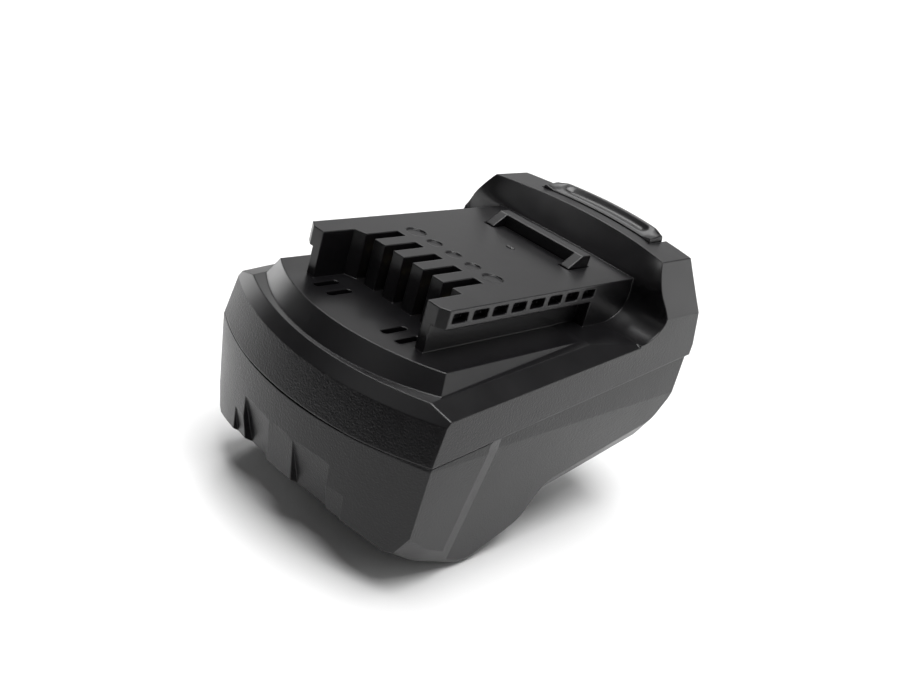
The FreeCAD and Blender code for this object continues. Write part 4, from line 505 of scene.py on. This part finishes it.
def soft_room():
    """A dark room with soft round panels of light and a low glowing band behind the pack, dimmer on the right.

    Each limit is a coordinate of the direction into the room, as a unit vector.
    """
    behind_from, behind_full, behind_strength = 0.3, 0.7, 0.62
    low_to, low_gone = 0.3, 0.44
    right_from, right_full, right_share = 0.5, 0.66, 0.25
    world = bpy.data.worlds.new("studio_world")
    world.use_nodes = True
    tree = world.node_tree
    way = add_node(tree, "ShaderNodeTexCoord")
    split = add_node(tree, "ShaderNodeSeparateXYZ", None, i0=(way, "Generated"))
    behind = ramp(tree, (split, "Y"), behind_from, behind_full, 0.0, behind_strength)
    low = ramp(tree, (split, "Z"), low_to, low_gone, 1.0, 0.0)
    side = ramp(tree, (split, "X"), right_from, right_full, 1.0, right_share)
    band = add_node(tree, "ShaderNodeMath", {"operation": "MULTIPLY"}, i0=(behind, 0), i1=(low, 0))
    total = add_node(tree, "ShaderNodeMath", {"operation": "MULTIPLY_ADD"}, i0=(band, 0), i1=(side, 0), i2=ROOM_GLOW)
    for towards, inner, outer, strength in PANELS:
        cosine = add_node(tree, "ShaderNodeVectorMath", {"operation": "DOT_PRODUCT"}, i0=(way, "Generated"),
                          i1=tuple(Vector(towards).normalized()))
        panel = ramp(tree, (cosine, "Value"), math.cos(math.radians(outer)), math.cos(math.radians(inner)), 0.0,
                     strength)
        total = add_node(tree, "ShaderNodeMath", {"operation": "ADD"}, i0=(total, 0), i1=(panel, 0))
    screen = tree.nodes["Background"]
    screen.inputs["Color"].default_value = (1.0, 1.0, 1.0, 1.0)
    tree.links.new(total.outputs[0], screen.inputs["Strength"])
    return world


def hang_lights(power_share):
    """A broad ceiling bank, almost straight above, and two small softboxes beside the pack."""
    sun = bpy.data.lights.new("ceiling_bank", "SUN")
    sun.energy = CEILING_LIGHT * power_share
    sun.angle = CEILING_WIDTH
    bank = place_in_scene("ceiling_bank", sun)
    bank.location = (0.0, 0.0, 2.0)
    bank.rotation_euler = Vector(CEILING_FROM).to_track_quat("Z", "Y").to_euler()
    for name, place, target, size, power in SOFTBOXES:
        data = bpy.data.lights.new(name, "AREA")
        data.size = size
        data.energy = power * power_share
        lamp = place_in_scene(name, data)
        lamp.location = place
        lamp.rotation_euler = (Vector(target) - Vector(place)).to_track_quat("-Z", "Y").to_euler()


def lay_reflection_shade_sheet():
    """A dark sheet on the floor before the pack, hidden from the camera, from diffuse light and from shadows, so that
    it is seen only in the shine of the pack's front faces: painted shade in their reflection, standing in for a dark
    room.
    """
    card = bpy.data.meshes.new("reflection_shade_sheet")
    card.from_pydata([(x, y, SHADE_SHEET_ABOVE_FLOOR) for x, y in REFLECTION_SHADE_SHEET], [], [tuple(range(len(REFLECTION_SHADE_SHEET)))])
    flag = place_in_scene("reflection_shade_sheet", card)
    # Its near-black colour is painted shade, which the pack's front faces reflect.
    card.materials.append(plain("dark sheet for painted reflection shade", "#050505", rough=1.0, grain_mm=0.5, depth_mm=0.05))
    flag.visible_camera = flag.visible_diffuse = flag.visible_shadow = False


def aimed_camera(focal_length):
    """The camera at the photograph's angle to the pack, its axes squared to each other."""
    data = bpy.data.cameras.new("camera")
    data.sensor_width = 36.0
    data.lens = focal_length
    data.clip_start = 0.01
    camera = place_in_scene("camera", data)
    back = Vector(CAMERA_BACK).normalized()
    right = Vector(CAMERA_RIGHT)
    right = (right - back * right.dot(back)).normalized()
    up = back.cross(right)
    turn = Matrix((right, up, back)).transposed().to_4x4()
    turn.translation = Vector(CAMERA_PLACE)
    camera.matrix_world = turn
    return camera


# Settings

class PackLook(bpy.types.PropertyGroup):
    """Finish of the housing and turns of the springs"""
    housing_colour: FloatVectorProperty(
        name="Housing colour", description="Colour of the moulded housing", subtype="COLOR", size=3,
        default=(0.0046, 0.0043, 0.0050), min=0.0, max=1.0)
    grain_size: FloatProperty(
        name="Grain size", description="Width of the moulded grain, in millimetres", default=0.4, min=0.05, max=3.0)
    grain_depth: FloatProperty(
        name="Grain depth", description="Depth of the moulded grain, in millimetres", default=0.075, min=0.0, max=0.5)
    edge_radius: FloatProperty(
        name="Edge radius", description="Softening of moulded edges, in millimetres", default=0.5, min=0.0, max=2.0)
    spring_turns: FloatProperty(
        name="Spring turns", description="Turns of each latch spring, end turns included", default=6.0, min=2.0,
        max=20.0)


class StudioLook(bpy.types.PropertyGroup):
    """Lens, floor and light of the studio"""
    focal_length: FloatProperty(
        name="Focal length", description="Lens of the camera, in millimetres", default=45.47, min=10.0, max=200.0)
    floor_colour: FloatVectorProperty(
        name="Floor colour", description="Colour of the studio floor", subtype="COLOR", size=3,
        default=(0.88, 0.88, 0.88), min=0.0, max=1.0)
    light_power: FloatProperty(
        name="Light power", description="Share of the soft lights' normal power", default=1.0, min=0.0, max=10.0)


# Operators

class BATTERY_OT_housing(bpy.types.Operator):
    """Moulded finish for the upper and lower housing, and the gate mark on the deck"""
    bl_idname = "battery.housing"
    bl_label = "Housing finish"

    def execute(self, context):
        look = context.scene.pack_look
        colour = tuple(look.housing_colour)
        clothe("upper_housing", moulded_abs(
            "moulded ABS, satin deck and grained walls", colour, look.grain_size, look.grain_depth, rough=0.3,
            shine=0.33, edge_mm=look.edge_radius, smooth_above=50.0))
        clothe("lower_housing", moulded_abs(
            "moulded ABS, grained", colour, look.grain_size, look.grain_depth, rough=0.32, shine=0.28,
            edge_mm=look.edge_radius))
        points, faces = gate_stub()
        stub = moulded_abs("cut gate stub", colour, grain_mm=0.3, grain_depth_mm=0.03, rough=0.42, shine=0.6,
                           edge_mm=0.1)
        make_piece("gate_mark", points, faces, [stub], "pack")
        return {"FINISHED"}


class BATTERY_OT_latch(bpy.types.Operator):
    """Finish for the latch hook, and the release button with its dished top"""
    bl_idname = "battery.latch"
    bl_label = "Latch finish"

    def execute(self, context):
        look = context.scene.pack_look
        colour = tuple(look.housing_colour)
        clothe("latch_hook", moulded_abs(
            "moulded acetal, satin", colour, grain_mm=0.6, grain_depth_mm=0.004, rough=0.3, shine=0.5,
            edge_mm=look.edge_radius))
        satin = moulded_abs("moulded ABS, satin", colour, grain_mm=0.6, grain_depth_mm=0.004, rough=0.3, shine=0.45,
                            edge_mm=0.15)
        low, high = (np.array(corner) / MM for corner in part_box("release_button"))
        sill = high[2] - SILL_DEPTH
        walls, faces = button_walls(sill)
        pad, pad_faces = button_pad(low, high, sill)
        faces += (pad_faces + len(walls)).tolist()
        piece = make_piece("release_button_dished", np.concatenate([walls, pad]) * MM, faces, [satin], "latch",
                           sharp=1.2)
        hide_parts("release_button")
        return {"FINISHED"}


class BATTERY_OT_springs(bpy.types.Operator):
    """The two latch springs as round drawn wire with closed end turns"""
    bl_idname = "battery.springs"
    bl_label = "Latch springs"

    def execute(self, context):
        turns = context.scene.pack_look.spring_turns
        wire = metal("hard-drawn spring wire", "#b9b8b6", rough=0.25, streak_mm=0.15)
        for node in ("right_latch_spring", "left_latch_spring"):
            middle, size = middle_and_size(node)
            points, faces = spring_coil(middle, size, turns)
            piece = make_piece(node + "_wire", points, faces, [wire], "pack")
            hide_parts(node)
            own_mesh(piece)
        return {"FINISHED"}


class BATTERY_OT_cells(bpy.types.Operator):
    """Five sleeved cells with their insulating rings and caps"""
    bl_idname = "battery.cells"
    bl_label = "Cells"

    def execute(self, context):
        sleeve = plain("heat-shrunk PVC sleeve", "#1d6f93", rough=0.3, grain_mm=1.2, depth_mm=0.01, other="#1a678a")
        steel = metal("nickel-plated steel can", "#c2bfb8", rough=0.3)
        ring = plain("fish paper ring", "#d9d6c8", rough=0.8, grain_mm=0.5, depth_mm=0.03, other="#cfccbd")
        for node, sign in CELLS:
            middle, size = middle_and_size(node)
            profile, bands = cell_profile(size[0] / MM, size[1] / MM / 2.0)
            base = (middle[0] - sign * size[0] / 2.0, middle[1], middle[2])
            points, faces = join_grids([lathe(profile, CELL_STEPS, base, (sign, 0.0, 0.0))])
            picks = np.repeat(bands, CELL_STEPS).tolist() + [STEEL, STEEL]
            piece = make_piece(node + "_dressed", points, faces, [sleeve, steel, ring], "pack", picks)
            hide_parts(node)
        return {"FINISHED"}


class BATTERY_OT_cell_frame(bpy.types.Operator):
    """Finish for the cell holders, the terminal holder, sheets, foam, nickel links and straps"""
    bl_idname = "battery.cell_frame"
    bl_label = "Cell frame finish"

    def execute(self, context):
        holder = plain("flame-retardant ABS", "#232324", rough=0.55, grain_mm=0.3, depth_mm=0.02)
        for node in ("right_cell_holder", "left_cell_holder", "terminal_holder"):
            clothe(node, holder)
        nickel = metal("pure nickel strip", "#c9c4ba", rough=0.28)
        for node in ("front_cell_link", "rear_cell_link", "lower_cell_link", "upper_cell_link",
                     "negative_strap", "positive_strap"):
            clothe(node, nickel)
        paper = plain("pressed barley paper", "#b9c4b2", rough=0.85, grain_mm=0.5, depth_mm=0.04, other="#aebaa6")
        for node in ("right_insulating_sheet", "left_insulating_sheet"):
            clothe(node, paper)
        foam = plain("closed-cell foam", "#1c1c1d", rough=0.95, grain_mm=0.6, depth_mm=0.2)
        for node in ("right_foam_pad", "left_foam_pad"):
            clothe(node, foam)
        return {"FINISHED"}


class BATTERY_OT_board(bpy.types.Operator):
    """Finish for the circuit board, its parts, the contacts and the thermistor"""
    bl_idname = "battery.board"
    bl_label = "Circuit board finish"

    def execute(self, context):
        clothe("circuit_board", plain(
            "solder mask on glass laminate", "#0f5a2c", rough=0.35, grain_mm=0.8, depth_mm=0.02, other="#0d5227"))
        contact = metal("tin-plated copper alloy", "#d3c7a4", rough=0.3)
        for node in ("positive_contact", "identity_contact", "temperature_contact", "signal_contact",
                     "negative_contact"):
            clothe(node, contact)
        epoxy = plain("moulded epoxy", "#1a1a1b", rough=0.6, grain_mm=0.25, depth_mm=0.02)
        for node in ("protection_chip", "switching_transistors"):
            clothe(node, epoxy)
        clothe("current_shunt", metal("manganin shunt", "#8d857a", rough=0.4))
        clothe("filter_capacitors", metal("drawn aluminium can", "#c4c5c8", rough=0.3))
        clothe("thermistor", plain("dipped resin bead", "#1b1712", rough=0.3, grain_mm=1.5, depth_mm=0.02))
        return {"FINISHED"}


class BATTERY_OT_screws(bpy.types.Operator):
    """Four thread-forming screws with pan heads and six-lobed sockets"""
    bl_idname = "battery.screws"
    bl_label = "Housing screws"

    def execute(self, context):
        steel = metal("black zinc-plated steel", "#3a3a3c", rough=0.38)
        low, high = (np.array(corner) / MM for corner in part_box("housing_screws"))
        rear_top, front_top = high[2], high[2] - FRONT_SCREWS_LOWER
        inward = HEAD_RADIUS + FRONT_SCREWS_INWARD
        places = [(x, high[1] - HEAD_RADIUS, rear_top) for x in (low[0] + HEAD_RADIUS, high[0] - HEAD_RADIUS)]
        places += [(x, low[1] + HEAD_RADIUS, front_top) for x in (low[0] + inward, high[0] - inward)]
        points, faces = join_grids([threaded_screw(x, y, top - SCREW_LENGTH) for x, y, top in places])
        piece = make_piece("housing_screws_threaded", points, faces, [steel], "pack")
        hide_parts("housing_screws")
        return {"FINISHED"}


class BATTERY_OT_stage(bpy.types.Operator):
    """Pale floor, soft studio lights and the camera at the photograph's viewing angle"""
    bl_idname = "battery.stage"
    bl_label = "Studio"

    def execute(self, context):
        look = context.scene.studio_look
        lay_floor(tuple(look.floor_colour) + (1.0,))
        context.scene.world = soft_room()
        hang_lights(look.light_power)
        lay_reflection_shade_sheet()
        context.scene.camera = aimed_camera(look.focal_length)
        context.scene.view_settings.view_transform = "Standard"
        return {"FINISHED"}


class BATTERY_PT_panel(bpy.types.Panel):
    """Sizes, colours and steps of the battery pack"""
    bl_label = "Battery pack"
    bl_idname = "BATTERY_PT_panel"
    bl_space_type = "VIEW_3D"
    bl_region_type = "UI"
    bl_category = "Battery"

    def draw(self, context):
        layout = self.layout
        for group in (context.scene.pack_look, context.scene.studio_look):
            for name in group.__annotations__:
                layout.prop(group, name)
        for operator in OPERATORS:
            layout.operator(operator.bl_idname)


OPERATORS = (
    BATTERY_OT_housing, BATTERY_OT_latch, BATTERY_OT_springs, BATTERY_OT_cells, BATTERY_OT_cell_frame,
    BATTERY_OT_board, BATTERY_OT_screws, BATTERY_OT_stage,
)
CLASSES = (PackLook, StudioLook) + OPERATORS + (BATTERY_PT_panel,)


def register():
    """Makes the settings, operators and panel known to Blender."""
    for cls in CLASSES:
        bpy.utils.register_class(cls)
    bpy.types.Scene.pack_look = PointerProperty(type=PackLook)
    bpy.types.Scene.studio_look = PointerProperty(type=StudioLook)


def unregister():
    """Takes them out again, last first."""
    del bpy.types.Scene.studio_look
    del bpy.types.Scene.pack_look
    for cls in reversed(CLASSES):
        bpy.utils.unregister_class(cls)


def main():
    """Runs every operator in turn."""
    register()
    for operator in OPERATORS:
        getattr(bpy.ops.battery, operator.bl_idname.split(".")[1])()


if __name__ == "__main__":
    main()
